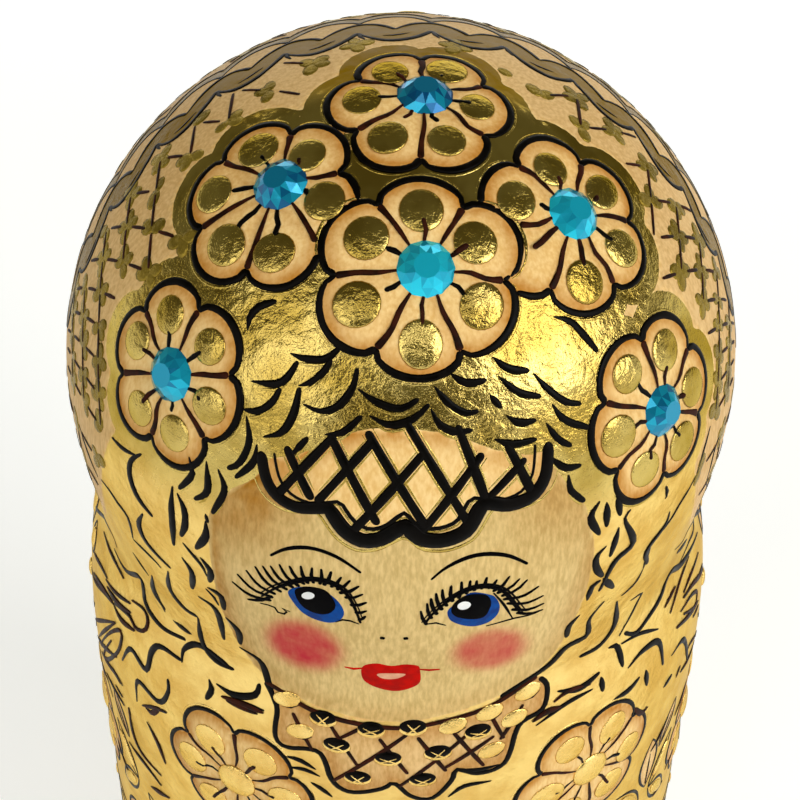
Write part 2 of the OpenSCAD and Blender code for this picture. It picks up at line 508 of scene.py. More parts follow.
BLUSHES = (((408, 490), (174, 100), 20, 1.0), ((1137, 506), (168, 86), -12, 0.84))
FRINGE = [
    (260.7, 451), (265.4, 477), (277, 496), (298, 507.6), (324, 507.6), (331, 512), (343, 529),
    (362, 540.7), (383, 538), (404.6, 526.5), (419, 538), (442, 540.7), (466, 531), (478, 512),
    (487, 503), (508, 505), (532, 496), (546, 474.6), (548.5, 441.6),
]
FRINGE_TOP = [(548, 390), (260, 390)]
FRINGE_MIDDLE = np.array([404.0, 470.0])
FACE_CORNER = np.array([200.0, 520.0])
FACE_ZOOM = 3.92


def face_pixels(points):
    """Pixels of the frame from places on the enlarged drawing of the face."""
    return FACE_CORNER + np.asarray(points, float) / FACE_ZOOM


class Leaf:
    """A pointed leaf on the body, with its turn, height, lean from upright and half sizes.
    Bare ones show the wood."""

    def __init__(self, turn, z, lean, long, wide, bare):
        self.chart = Chart(skin.at(turn, z)[0])
        c, s = math.cos(math.radians(lean)), math.sin(math.radians(lean))
        self.along = s * self.chart.right + c * self.chart.up
        self.across = c * self.chart.right - s * self.chart.up
        self.long, self.wide, self.bare = long, wide, bare

    def at(self, share, side):
        """Places on the skin at shares of the length, and at shares of the width there."""
        share = np.asarray(share, float)
        flat = self.chart.middle + self.long * share[:, None] * self.along
        return skin.stick(flat + (side * self.wide * (1 - share**2))[:, None] * self.across)[0]

    def field(self, points):
        """Distance across to the leaf's edge, negative inside."""
        d = points - self.chart.middle
        x = np.abs(d @ self.along) / self.long
        return np.where(x < 1, np.abs(d @ self.across) - self.wide * (1 - x**2), 9.0)


leaves = []


def leaf_fields(points):
    """Distance to the nearest bare leaf, and its scorching."""
    gap = np.full(len(points), 99.0)
    for leaf in leaves:
        if leaf.bare:
            near = np.flatnonzero(((points - leaf.chart.middle) ** 2).sum(1) < (leaf.long + 1) ** 2)
            gap[near] = np.minimum(gap[near], leaf.field(points[near]))
    return gap, np.where(gap < 0, 0.75 * smooth(gap, -1.3, 0.0), 0.0)


def petal_fields(points):
    """Distance to the nearest flower, and the petals' scorching and relief. Earlier flowers lie on top."""
    gap = np.full(len(points), 99.0)
    burn = np.zeros(len(points))
    relief = np.zeros(len(points))
    for flower in flowers:
        away, between, rho = flower.fields(points)
        bare = (away < 0) & (gap > 0)
        inner = np.maximum(np.minimum(-away, between), 0)
        relief[bare] = (PETAL_RISE * (1 - np.exp(-inner / 0.7)) * smooth(rho, 1.2, 3.2))[bare]
        scorch = np.maximum(smooth(away, -2.1, -0.3), 0.5 * smooth(-between, -0.8, 0.0))
        burn[bare] = scorch[bare]
        gap = np.minimum(gap, away)
    return gap, burn, relief


# Where the looks change: across and down the photograph, over the head in degrees, and in height
FACE_LIT_X, FRINGE_CORNER_X = (380, 560), (70, 150)
FRINGE_CORNER_Y, CHIN_Y = (480, 590), (600, 700)
CROWN_FRONT, CROWN_BACK = (76, 86), (112, 124)
# Above this height the gold is polished, and its colour is painted darker as painted shade
POLISH_AND_SHADE_Z = (149, 156)
CALM_Z = (HEAD[2] + 24, HEAD[2] + 30)


def paint(points, normals):
    """What the skin wears at each point: gilding, scorching with painted shade on the face's left side,
    face, blush, polish with painted shade on the upper gold, a painted dark reflection on band and crown,
    painted shade on the lattice and bib wood, and relief.
    """
    flower_gap, burn, relief = petal_fields(points)
    front = (normals * unit(EYE - points)).sum(1) > 0.05
    px = pixels_of(points)
    face = np.where(front, polygon_distance(px, FACE_EDGE), 99.0) / PIXELS_PER_MM
    chest = np.where(front, polygon_distance(px, CHEST_BORDER + CHEST_TOP), 99.0) / PIXELS_PER_MM
    lattice = lattice_field(points, flower_gap)
    apron = apron_field(points)
    leaf, leaf_burn = leaf_fields(points)
    gild = np.minimum.reduce([flower_gap, face, chest, lattice, apron, leaf])
    fringe = np.where(front, polygon_distance(px, FRINGE + FRINGE_TOP), 99.0) / PIXELS_PER_MM
    # The face's edge and the fringe's corners are scorched. The scorch is painted stronger on the face's
    # left side as painted shade of that side, and weaker towards the chin.
    shade_side = 1 - 0.45 * smooth(px[:, 0], *FACE_LIT_X)
    corner = smooth(np.abs(px[:, 0] - FRINGE_MIDDLE[0]), *FRINGE_CORNER_X)
    corner = corner * (1 - smooth(px[:, 1], *FRINGE_CORNER_Y))
    edge = np.maximum(smooth(face, -2.0, 0.1), corner) * shade_side
    edge = edge * (1 - 0.6 * smooth(px[:, 1], *CHIN_Y))
    bib = np.where(chest < 0, 0.7 * smooth(chest, -2.2, 0.0), 0)
    burn = np.maximum.reduce([burn, np.where(face < 0, edge, 0), bib, leaf_burn])
    # The band and the crown are painted dark olive: a painted dark reflection of the room overhead on the
    # gold.
    over, out = over_head(points)
    crown = smooth(over, *CROWN_FRONT) * (1 - smooth(over, *CROWN_BACK)) * (points[:, 2] > HEAD[2])
    olive = np.maximum(smooth(band_depth(over, out), -0.4, 0.4), crown)
    # Wood of the lattice and of the bib is given a darker colour: painted shade.
    tan = np.maximum(smooth(-lattice, 0.0, 0.2) * (flower_gap > 0), smooth(-chest, 0.0, 0.2))
    blush = np.zeros(len(points))
    for middle, size, tilt, amount in BLUSHES:
        d = (px - face_pixels(middle)) * FACE_ZOOM
        c, s = math.cos(math.radians(tilt)), math.sin(math.radians(tilt))
        across = np.hypot((d[:, 0] * c + d[:, 1] * s) / size[0], (d[:, 1] * c - d[:, 0] * s) / size[1])
        blush = np.maximum(blush, amount * (1 - smooth(across, 0.55, 1.15)) * front)
    return {
        "gild": gild, "burn": burn, "face": np.minimum(-face, fringe), "blush": blush,
        "polish": smooth(points[:, 2], *POLISH_AND_SHADE_Z), "olive": olive, "tan": tan, "relief": relief,
        "crumple": 1 - 0.85 * smooth(points[:, 2], *CALM_Z),
    }


# Strokes, drops and patches of paint, gathered for each half
strokes = {}
drops = {}
pads = {}
# Below this height the gilding is satin, and leaves and rims take their satin kinds, whose paler colours
# stand against the painted shade of the darker gold above
SATIN_TOP = 150.0
SATIN_KIND = {"leaf": "soft", "bead": "thread"}


# Pens: the kind of line, its width, and how much of the width is left at its start and end
PENS = dict(
    petal_edge=("black", 0.7, (0.7, 1.0)),
    petal_rim=("bead", 0.34, (0.4, 0.4)),
    petal_line=("brown", 0.5, (0.5, 1.4)),
    black_spoke=("black", 1.0, (0.7, 0.9)),
    brown_spoke=("brown", 1.0, (0.7, 0.9)),
    band_front=("black", 0.6, (0.5, 0.95)),
    band_back=("black", 0.54, (0.5, 0.95)),
    band_tick=("black", 0.4, (0.9, 0.5)),
    band_mark=("black", 0.32, (0.3, 0.3)),
    band_end=("black", 0.5, (1.0, 1.0)),
    piping=("black", 0.44, (0.5, 0.9)),
    lattice_dash=("brown", 0.38, (0.75, 0.75)),
    hair=("black", 0.74, (0.3, 0.65)),
    hair_rim=("bead", 0.36, (0.2, 0.2)),
    fringe_edge=("black", 1.5, (0.8, 0.8)),
    fringe_thread=("bead", 0.26, (0.5, 0.5)),
    fringe_line=("black", 0.42, (0.7, 0.7)),
    fringe_rim=("bead", 0.42, (0.4, 0.4)),
    fringe_bar=("black", 0.84, (0.9, 1.0)),
    bar_thread=("bead", 0.26, (0.7, 0.5)),
    braid=("black", 0.84, (0.35, 0.6)),
    side_line=("black", 0.5, (0.45, 0.45)),
    side_leaf=("brown", 0.54, (0.5, 0.6)),
    shoulder=("brown", 0.76, (0.4, 0.5)),
    chest=("black", 0.6, (0.4, 0.4)),
    bib_edge=("black", 0.62, (1.0, 1.0)),
    bib_top=("brown", 0.56, (1.0, 1.0)),
    bib_bar=("brown", 0.5, (0.8, 0.8)),
    leaf_shade=("black", 0.3, (0.3, 0.3)),
    leaf_cross=("bead", 0.2, (0.4, 0.5)),
    lid=("fine", 0.42, (0.6, 0.6)),
    lid_fold=("fine", 0.28, (0.5, 0.5)),
    lid_line=("fine", 0.27, (0.6, 0.5)),
    lash=("fine", 0.4, (1.0, 0.6)),
    brow=("fine", 0.44, (0.6, 0.7)),
    nostril=("fine", 0.42, (1.0, 1.0)),
    lip_corner=("lip", 0.36, (0.6, 0.6)),
    leaf_edge=("black", 0.5, (0.5, 0.5)),
    leaf_vein=("brown", 0.34, (1.0, 0.4)),
    kerchief_foot=("black", 0.56, (0.7, 0.7)),
    hem=("black", 0.6, (0.7, 0.7)),
    hem_inner=("black", 0.4, (0.7, 0.7)),
    seam_scallop=("black", 0.5, (0.7, 0.7)),
    wide_ring=("black", 0.8, (1.0, 1.0)),
    thin_ring=("black", 0.5, (1.0, 1.0)),
    apron_line=("brown", 0.5, (1.0, 1.0)),
    apron_edge=("black", 0.95, (1.0, 1.0)),
)
# Half length, half width and height of the gold drops and of the dark ones on them
BRIGHT_LEAF, DARK_LEAF, DARK_CORE = (1.5, 0.98, 0.24), (1.44, 0.94, 0.2), (1.36, 0.84, 0.3)
HEM_LEAF, APRON_LEAF = (1.3, 0.9, 0.35), (1.35, 1.0, 0.4)
SEAM_GRAIN, FOOT_GRAIN = (1.1, 0.8, 0.35), (1.1, 1.1, 0.35)
FLOWER_HEART = (2.3, 2.3, 0.6)
# How thick each coat of the face's paint is, and how high over the skin it starts
COATS = {
    "iris": (0.05, 0.03), "ink": (0.05, 0.07), "white": (0.05, 0.1), "lip": (0.1, 0.02),
    "pale": (0.04, 0.12),
}


def half_of(points):
    return "upper" if points[:, 2].mean() > SEAM_Z else "lower"


def stroke(pen, points, bold=1.0, closed=False, over=None):
    """One line on the skin, drawn with a pen whose width is multiplied by bold.
    Over is a leaf that the line climbs: its middle, its radius and its height."""
    kind, width, ends = PENS[pen]
    path = curve_through(points, closed)
    if closed:
        path = np.vstack([path, path[:1]])
    if path[:, 2].mean() < SATIN_TOP:
        kind = SATIN_KIND.get(kind, kind)
    line = (path, width * bold, ends, closed, over, rng.integers(1 << 30))
    strokes.setdefault((half_of(path), kind), []).append(line)


def drop(kind, point, along, size):
    """One drop of gold leaf on the skin, with its long way along a direction."""
    if point[2] < SATIN_TOP:
        kind = SATIN_KIND.get(kind, kind)
    made = (np.asarray(point), np.asarray(along), size)
    drops.setdefault((half_of(np.atleast_2d(point)), kind), []).append(made)


def pad(kind, outline):
    """One flat patch of paint inside an outline on the skin."""
    pads.setdefault((half_of(outline), kind), []).append((outline, *COATS[kind]))


def clipped_stroke(pen, points, above, bold=1.0, over=None):
    """A line of a flower, left out where it runs under the flowers above it."""
    path = curve_through(points)
    clear = np.ones(len(path), bool)
    for flower in above:
        clear &= flower.fields(path)[0] > 0.1
    runs = np.flatnonzero(np.diff(np.concatenate([[0], clear, [0]])))
    for first, last in zip(runs[::2], runs[1::2]):
        if lengths_along(path[first:last])[-1] > 0.8:
            stroke(pen, path[first:last], bold, over=over)


# Gap of the gold rim outside a petal, and place and half size of the gold drop on it, on the radius
RIM_GAP = 0.52
DROP_PLACE_SHARE, DROP_SIZE_SHARE = 0.635, 0.22
# Widths of the lines from the heart, how much of the way they go, and the share of them that is black
SPOKE_WIDTHS, SPOKE_REACHES, BLACK_SHARE = (0.36, 0.56), (0.35, 0.95), 0.6


def draw_flower(flower, above, bold=1.0):
    """Edges, rims, lines and gold drops of the petals. Above are the flowers that lie over it."""
    chart, radius = flower.chart, flower.radius
    step = 2 * math.pi / PETALS

    def polar(reach, angle):
        return chart.at(reach * np.cos(angle), reach * np.sin(angle))

    def spoke(end, far):
        """A line from the heart or the stone toward an end, and how much of the way it goes."""
        start = flower.heart + (HEART_R - 0.3) * unit(end - flower.heart)
        across = unit(np.cross(end - start, chart.normal))
        sway = 0.16 * rng.standard_normal(4) * [0, 1, 1, 0]
        return start + far * np.linspace(0, 1, 4)[:, None] * (end - start) + sway[:, None] * across

    for k in range(PETALS):
        start = flower.turn + k * step
        angle = start + step * np.linspace(0.0, 1.0, 17)
        edge = flower.edge(start + step * np.linspace(0.001, 0.999, 17))
        clipped_stroke("petal_edge", polar(edge, angle), above, bold)
        clipped_stroke("petal_rim", polar(edge + RIM_GAP * bold, angle), above)
        clipped_stroke("petal_line", spoke(polar(edge[0], start)[0], 1.0), above, bold)
        middle = start + step / 2 + 0.06 * rng.standard_normal()
        place = polar(DROP_PLACE_SHARE * radius * rng.uniform(0.95, 1.04), middle)[0]
        long, wide = DROP_SIZE_SHARE * radius * rng.uniform(0.9, 1.08, 2)
        if all(other.fields(place[None])[0][0] > 0.8 for other in above):
            drop("leaf", place, place - chart.middle, (long, wide, LEAF_RISE))
        pen = "black_spoke" if rng.random() < BLACK_SHARE else "brown_spoke"
        line = spoke(place, rng.uniform(*SPOKE_REACHES))
        width = rng.uniform(*SPOKE_WIDTHS) * bold
        clipped_stroke(pen, line, above, width, (place, 0.5 * (long + wide), LEAF_RISE))


def draw_scallops(pen, place, start, end, count, depth):
    """Scallops along a line: place takes a share along the line and a depth."""
    for k in range(count):
        share = start + (end - start) * (k + np.linspace(0, 1, 9)) / count
        stroke(pen, place(share, depth * np.sin(math.pi * np.linspace(0, 1, 9)) ** SCALLOP_ROUNDING))


def draw_cluster(point, right, up, size):
    """Four small leaves of gold round a crossing of the lattice."""
    for k in range(4):
        turn = math.pi / 4 + k * math.pi / 2 + 0.25 * rng.standard_normal()
        way = math.cos(turn) * right + math.sin(turn) * up
        if rng.random() < 0.85:
            long = size * rng.uniform(0.75, 1.05)
            drop("dot", point + 0.72 * size * way, way, (long, 0.74 * long, 0.06))


def draw_kerchief():
    """Scalloped band over the head, and the lattice with its gold leaves."""
    for k in range(-8, 8):
        start = BAND_START + k * BAND_PITCH
        if abs(start + BAND_PITCH / 2) < BAND_END - 4:
            out = start + BAND_PITCH * np.linspace(0, 1, 13)
            stroke("band_front", from_head(band_front(out), out))
            tick = np.array([start, start + 0.4, start + 1.2])
            stroke("band_tick", from_head(band_front(start) - np.array([0, 1.6, 3.0]), tick))
            for more in (0.0, PIPING):
                stroke("piping", from_head(strip_back(out, more), out))
            out = out + BAND_PITCH / 2
            stroke("band_back", from_head(band_back(out), out))
            out = start + BAND_PITCH * np.array([0.34, 0.5, 0.7])
            stroke("band_mark", from_head(band_front(out) + np.array([1.8, 2.2, 2.4]), out))
    for end in (-BAND_END, BAND_END):
        stroke("band_end", from_head(np.linspace(band_front(end), strip_back(end, PIPING), 7), end))

    def inside(points, before):
        """Whether points lie well inside the lattice, before the band or behind it."""
        gap = np.full(len(points), 99.0)
        for flower in flowers:
            gap = np.minimum(gap, flower.fields(points)[0])
        over, out = over_head(points)
        low = points[:, 2] < HEAD[2] + 5
        if before:
            part = (over < band_front(out) - 1) & (np.abs(out) < BAND_END - 6) & ~low
        else:
            part = (over > strip_back(out, PIPING) + 2) | (np.abs(out) > BAND_END + 1) | low
        return (lattice_field(points, gap) < -0.1) & part

    def knot(here, before):
        """Gold leaves on a crossing that lies inside."""
        if inside(here, before)[0]:
            normal = unit(here[0] - HEAD)
            right = unit(np.cross([0, 0, 1], normal))
            draw_cluster(here[0], right, np.cross(normal, right), 1.1)

    def burn_dash(dash, before):
        """A burnt dash between two crossings, where all of it lies inside."""
        if inside(dash, before).all():
            stroke("lattice_dash", dash)

    columns = COLUMN_START + COLUMN_STEP * np.arange(-5, 8)
    rows = ROW_START + ROW_STEP * np.arange(-6, 8)
    for side in (-1, 1):
        for column in columns:
            for row in rows:
                knot(from_head(row + ROW_SLOPE * column, side * column), True)
                out = column + COLUMN_STEP * SHORT_DASH_SHARES
                burn_dash(from_head(row + ROW_SLOPE * out, side * out), True)
                over = row + ROW_STEP * LONG_DASH_SHARES + ROW_SLOPE * column
                burn_dash(from_head(over, side * column), True)
    for rise in BACK_RISES:
        for turn in BACK_TURNS:
            knot(skin.stick(head_point(turn, rise))[0], False)
            for d_turn, d_rise in ((BACK_TURN_STEP, 0), (0, BACK_RISE_STEP)):
                ends = zip(turn + d_turn * SHORT_DASH_SHARES, rise + d_rise * SHORT_DASH_SHARES)
                burn_dash(skin.stick([head_point(t, e) for t, e in ends])[0], False)


HAIR = [
    [(247.7, 330.7), (250, 316.5), (260.7, 306), (277, 301)],
    [(290, 353), (303, 358), (324, 359), (336, 351), (339.7, 347)],
    [(251, 381), (275, 384), (286.6, 378), (298, 361)],
    [(298, 386), (312.6, 381), (324, 371), (331.5, 359)],
    [(303, 404), (319.7, 411), (338.5, 406), (352.7, 387), (357.4, 368)],
    [(239.4, 408.5), (258, 411), (272.5, 401.5), (280.7, 387)],
    [(263, 437), (282, 432), (293.7, 413), (299.6, 387)], [(291, 455.7), (308, 437)],
    [(324.4, 434.5), (343, 432), (362, 415.6)],
    [(357.4, 388.5), (376, 401.5), (400, 408.5), (418.8, 399)],
    [(369, 415.6), (390.5, 425), (414, 418), (429.4, 404)],
    [(434, 386), (449.4, 404), (466, 413), (479, 411)],
    [(430.6, 408.5), (440, 425), (456.5, 432), (473, 430)], [(449.4, 373), (466, 382.6), (487, 380)],
    [(499, 376.7), (518, 392), (541.5, 396.7)], [(489.6, 394.4), (501.4, 408.5)],
    [(533, 373), (548.5, 389.7), (565, 401.5), (581.6, 404)],
    [(492, 356.6), (508.4, 368.4), (529.7, 370.8)], [(552, 404), (565, 420), (593, 428.6)],
    [(494, 439), (513, 444), (537, 439)], [(506, 415.6), (520, 422.7), (536.7, 420)],
    [(546, 422.7), (558, 439), (572, 446)], [(548.5, 455.7), (565, 467.5), (581.6, 465)],
    [(553, 316.5), (569.8, 321), (584, 335), (598, 352)],
    [(246.5, 415.6), (249, 441.6), (239.4, 462.8), (227, 468.5)], [(190, 456), (192, 475), (178.6, 489)],
    [(206.4, 461), (207.3, 490.8), (194, 499.4)], [(217.9, 468.8), (224.6, 490.8), (212, 513.8)],
    [(257, 444), (253, 463), (235, 478)], [(568.4, 474), (571, 490.5), (585, 501.5)],
]
LEFT_THIN = [
    [(100, 20), (150, 180), (200, 300)],
    [(215, 310), (260, 370), (300, 430), (350, 500), (370, 560), (382, 620)],
    [(170, 400), (190, 460), (240, 530), (275, 600), (300, 670)],
    [(382, 622), (440, 680), (500, 740), (530, 775)], [(380, 690), (420, 750), (465, 815)],
    [(480, 810), (490, 870), (520, 940), (550, 1005)], [(640, 640), (690, 700), (740, 760), (770, 820)],
    [(760, 880), (800, 920), (830, 970)], [(270, 90), (330, 150), (395, 185)], [(630, 410), (645, 470)],
    [(760, 490), (775, 540)], [(590, 1045), (640, 1090), (690, 1120)],
]
LEFT_LEAVES = [
    [(155, 750), (180, 830), (230, 900), (285, 965)], [(230, 580), (262, 680), (300, 760), (335, 830)],
    [(180, 690), (215, 760), (250, 830)], [(240, 830), (290, 900), (370, 960)],
    [(375, 940), (440, 990), (460, 1055), (440, 1100), (395, 1085), (360, 1020), (285, 955)],
    [(170, 1040), (230, 1050), (290, 1058)], [(290, 1060), (240, 1095), (208, 1130)],
    [(220, 1160), (265, 1110), (315, 1100), (322, 1150), (300, 1215), (255, 1250), (232, 1225), (270, 1150)],
    [(240, 1250), (290, 1320), (330, 1390)], [(290, 1380), (330, 1450)],
    [(190, 1160), (220, 1260), (250, 1350), (280, 1450)], [(430, 1490), (500, 1505), (560, 1530)],
    [(360, 1500), (370, 1560)],
]
RIGHT_THIN = [
    [(670, 350), (676, 395), (664, 420)],
    [(830, 290), (790, 370), (740, 450), (700, 520), (640, 600), (590, 655)],
    [(880, 330), (850, 440), (800, 560), (760, 640), (715, 690)], [(975, 20), (930, 150), (885, 320)],
    [(905, 30), (870, 160), (830, 290)], [(870, 420), (815, 550), (785, 660), (740, 760)],
    [(548, 790), (510, 860), (450, 920), (430, 935)],
    [(480, 960), (540, 920), (520, 960), (470, 1060), (420, 1150)], [(590, 655), (560, 750), (548, 790)],
    [(430, 1190), (530, 1135), (630, 1110)],
]
RIGHT_LEAVES = [
    [(790, 720), (750, 830), (720, 930), (690, 1030)], [(840, 700), (800, 820), (760, 920)],
    [(745, 1020), (800, 935), (832, 912), (822, 985), (762, 1032)], [(862, 760), (840, 830)],
    [(660, 1000), (690, 940), (720, 880)], [(810, 1050), (840, 980)],
    [(770, 1250), (800, 1180), (830, 1120)], [(720, 1370), (745, 1300)],
    [(70, 1500), (150, 1440), (270, 1400)],
]
# Each side's enlarged drawing: its corner in the frame, its scale, its thin lines and its leaves
SIDE_LINES = (
    (np.array([60.0, 420.0]), 5.226, LEFT_THIN, LEFT_LEAVES),
    (np.array([540.0, 420.0]), 5.314, RIGHT_THIN, RIGHT_LEAVES),
)
CHEST_VIEW_CORNER = np.array([190.0, 660.0])
CHEST_VIEW_ZOOM = 3.647
CHEST_STROKES = [
    [(115, 130), (200, 160), (272, 185)], [(1260, 240), (1370, 160), (1470, 105)],
    [(345, 350), (400, 365), (460, 400)], [(360, 390), (420, 400), (475, 425)],
    [(965, 400), (1050, 400), (1130, 380)], [(940, 500), (1000, 460), (1100, 440)],
    [(440, 445), (480, 470), (520, 500)],
]
FRINGE_BARS = [
    [(286, 446), (312, 500)], [(330, 434), (378, 525)], [(367, 431), (428, 530)],
    [(405, 420), (471, 527)], [(457, 425), (487, 503)], [(506, 442), (533, 494)],
    [(334, 436), (275, 497)], [(374, 440), (316, 503)], [(424, 453), (350, 534)],
    [(483, 453), (420, 534)], [(526, 458), (487, 500)],
]
LEFT_BRAID = [
    [(141.5, 453.8), (131, 460.7), (130, 476.7), (138, 497.4), (153, 517)],
    [(172.5, 486), (171.4, 506.6), (172.5, 525), (173.7, 545.6)],
    [(177, 492.8), (184, 509), (185, 525), (180.6, 536.5)],
    [(142.7, 513.5), (139, 525), (147, 543), (171, 568.6)],
    [(205.8, 520.4), (205.8, 536.5), (195.5, 549)],
    [(168, 571), (170, 589), (184, 607.7), (197.8, 616.8)],
    [(197.8, 616.8), (202.4, 642), (216, 660.5), (234.5, 669.7)], [(181.7, 557), (192, 573), (192, 589)],
    [(200, 557), (210.4, 571), (209.3, 582.4)], [(197.8, 596), (216, 610), (224, 639.8)],
    [(207, 587), (220.8, 596), (224, 610)], [(225.4, 616.8), (238, 630.6), (240.3, 644.4)],
    [(114, 548), (126.6, 571), (140.4, 577.8), (145, 600.8), (161, 626), (186, 639.8)],
    [(152, 575.5), (154, 591.6), (165.6, 610)], [(174.8, 621.4), (191, 634)],
    [(181.7, 662.8), (184, 649), (197.8, 644.4), (216, 656), (232, 669.7)],
    [(239, 646.7), (259.8, 660.5), (267.9, 681), (275.9, 706.4)],
    [(216, 683.5), (234.5, 695), (255, 695), (259.8, 683.5)],
    [(209, 678.9), (211.6, 690), (205.8, 699.5)],
    [(122, 660.5), (131, 649), (146, 669.7), (152, 651), (161, 646.7), (181.7, 660.5)],
    [(137, 701.8), (138, 681), (158.8, 701.8), (168, 692.7), (168, 678.9)],
]
RIGHT_BRAID = [
    [(600, 501), (590.7, 518), (600, 535)], [(606.8, 502), (606.8, 527)], [(617, 493), (620.6, 515.8)],
    [(631, 509), (625, 520), (633, 543), (614.8, 561.7), (598.8, 591.6)], [(619, 527), (610, 557)],
    [(606.8, 545.6), (596.5, 557), (596.5, 568.6), (603, 576.7)], [(603, 578), (613.7, 588)],
    [(587, 600.8), (592, 587), (601, 580)], [(617, 600.8), (614.8, 623.7), (601, 644), (579, 657)],
    [(604.5, 600.8), (589.6, 619), (587, 635), (566.6, 646.7), (546, 667), (500, 697)],
    [(580, 614.5), (569, 626), (566.6, 637.5)], [(670, 511), (665, 525), (647, 550), (647, 564)],
    [(687, 538.8), (676.9, 552.5)],
    [(697.5, 531.9), (681, 564), (670, 573), (660.8, 596), (647, 619), (635.5, 633), (624, 633)],
    [(608, 648), (617, 646.7), (623, 667)], [(627.5, 668.5), (642.4, 651), (658.5, 642), (663, 665)],
    [(671, 656), (683.7, 639.8), (687, 662.8)], [(557, 691.5), (580, 688), (600, 672)],
    [(601, 676.6), (603, 691.5)], [(613.7, 699.5), (628.6, 690), (640, 676.6)],
    [(645.8, 669.7), (647, 685.8)], [(663, 688), (672, 674)],
]
# Burnt strokes over the shoulders, outside the braids
SHOULDER_STROKES = [
    [(94, 572), (102, 586), (113, 602)], [(107, 586), (119, 604), (131, 613)],
    [(113, 602), (121, 619), (135, 631)], [(98, 635), (107, 649), (117, 657)],
    [(102, 651), (113, 670), (121, 684)], [(107, 672), (119, 696), (125, 706)],
    [(129, 708), (133, 731), (141, 751), (162, 776)], [(147, 721), (158, 743), (166, 764)],
    [(145, 706), (152, 713), (160, 708)], [(119, 737), (123, 755), (131, 776)],
    [(129, 741), (147, 766), (162, 786)], [(221, 696), (243, 704), (264, 713)],
    [(226, 700), (244, 708), (258, 714)], [(151, 786), (170, 798)], [(703, 566), (694, 582), (683, 598)],
    [(698, 600), (688, 616), (676, 628)], [(694, 640), (688, 658), (680, 672)],
    [(686, 680), (680, 700), (674, 716)], [(680, 726), (672, 748), (664, 770)],
    [(668, 716), (658, 738), (650, 752)], [(562, 706), (546, 712), (532, 722)],
    [(648, 706), (641, 713), (634, 708)], [(662, 780), (652, 796)],
]
BRIGHT_LEAVES = [
    (286.8, 698.7), (300, 731), (453, 725.5), (489.6, 712), (491.5, 750), (514.4, 717.8), (527.8, 691),
]
DARK_LEAVES = [
    (323, 717.8), (371, 729), (413, 727), (478, 731), (336.5, 744.6), (388, 758), (438, 752),
    (357.6, 777), (422.6, 779),
]
CHEST_BARS = [
    [(520, 440), (820, 250)], [(760, 462), (1045, 240)], [(545, 285), (650, 235)],
    [(925, 395), (1110, 275)], [(1130, 290), (1215, 160)], [(500, 215), (612, 385)],
    [(690, 285), (795, 415)], [(830, 280), (935, 405)], [(960, 262), (1072, 385)],
    [(1090, 190), (1145, 285)], [(375, 190), (450, 335)],
]


# How far threads, line and rim lie from the fringe's edge and its bars, in pixels
FRINGE_THREAD_IN, FRINGE_LINE_IN, FRINGE_RIM_OUT, BAR_THREAD_GAP = 10, 13.5, 11, 6.2
# How far the gold rim of the hair lies below each lock
HAIR_RIM_DROP = 0.62


def draw_lines(pen, lines, corner=0.0, zoom=1.0):
    """Lines of the photograph's frame, or of an enlarged drawing of a part of it."""
    for line in lines:
        stroke(pen, seen(corner + np.array(line) / zoom))


def draw_front():
    """Hair, fringe, braids and chest, as the photograph shows them."""
    for line in HAIR:
        path = seen(line)
        stroke("hair", path)
        stroke("hair_rim", path - np.array([0, 0, HAIR_RIM_DROP]))
    edge = curve_through(FRINGE, fine=6)
    inward = unit(FRINGE_MIDDLE - edge)
    stroke("fringe_edge", seen(edge[::3]))
    stroke("fringe_thread", seen((edge + FRINGE_THREAD_IN * inward)[::3]))
    stroke("fringe_line", seen((edge + FRINGE_LINE_IN * inward)[::3]))
    stroke("fringe_rim", seen((edge - FRINGE_RIM_OUT * inward)[::3]))
    for line in FRINGE_BARS:
        start, end = np.array(line)
        side = unit(np.array([end[1] - start[1], start[0] - end[0]]))
        stroke("fringe_bar", seen([start, end]))
        for shift in (-BAR_THREAD_GAP, BAR_THREAD_GAP):
            stroke("bar_thread", seen([start + shift * side, end + shift * side]))
    draw_lines("braid", LEFT_BRAID + RIGHT_BRAID)
    for corner, zoom, thin_lines, leaf_lines in SIDE_LINES:
        draw_lines("side_line", thin_lines, corner, zoom)
        draw_lines("side_leaf", leaf_lines, corner, zoom)
    draw_lines("shoulder", SHOULDER_STROKES)
    draw_lines("chest", CHEST_STROKES, CHEST_VIEW_CORNER, CHEST_VIEW_ZOOM)
    border = curve_through(CHEST_BORDER, fine=5)
    stroke("bib_edge", seen(border[::2]))
    stroke("bib_top", seen(np.vstack([CHEST_BORDER[-1], CHEST_TOP, CHEST_BORDER[0]])))
    draw_lines("bib_bar", CHEST_BARS, CHEST_VIEW_CORNER, CHEST_VIEW_ZOOM)
    for place in BRIGHT_LEAVES:
        chart = Chart(seen([place])[0])
        drop("leaf", chart.middle, chart.right + 0.3 * chart.up, BRIGHT_LEAF)
        arc = np.linspace(-2.6, -0.4, 7)[:, None]
        path = chart.middle + 1.4 * np.cos(arc) * chart.right + 0.95 * np.sin(arc) * chart.up
        stroke("leaf_shade", path)
    # Dark leaves: a gold drop with a black core laid over it.
    for place in DARK_LEAVES:
        chart = Chart(seen([place])[0])
        drop("leaf", chart.middle - 0.2 * chart.up, chart.right, DARK_LEAF)
        drop("hole", chart.middle + 0.06 * chart.up, chart.right, DARK_CORE)
        for turn in rng.uniform((0.3, -0.9), (0.9, -0.3)):
            arm = math.cos(turn) * chart.right + math.sin(turn) * chart.up
            path = chart.middle + np.array([-0.9, -0.3, 0.3, 0.9])[:, None] * arm - 0.18 * chart.up
            stroke("leaf_cross", path, over=(chart.middle, 1.4, 0.34))


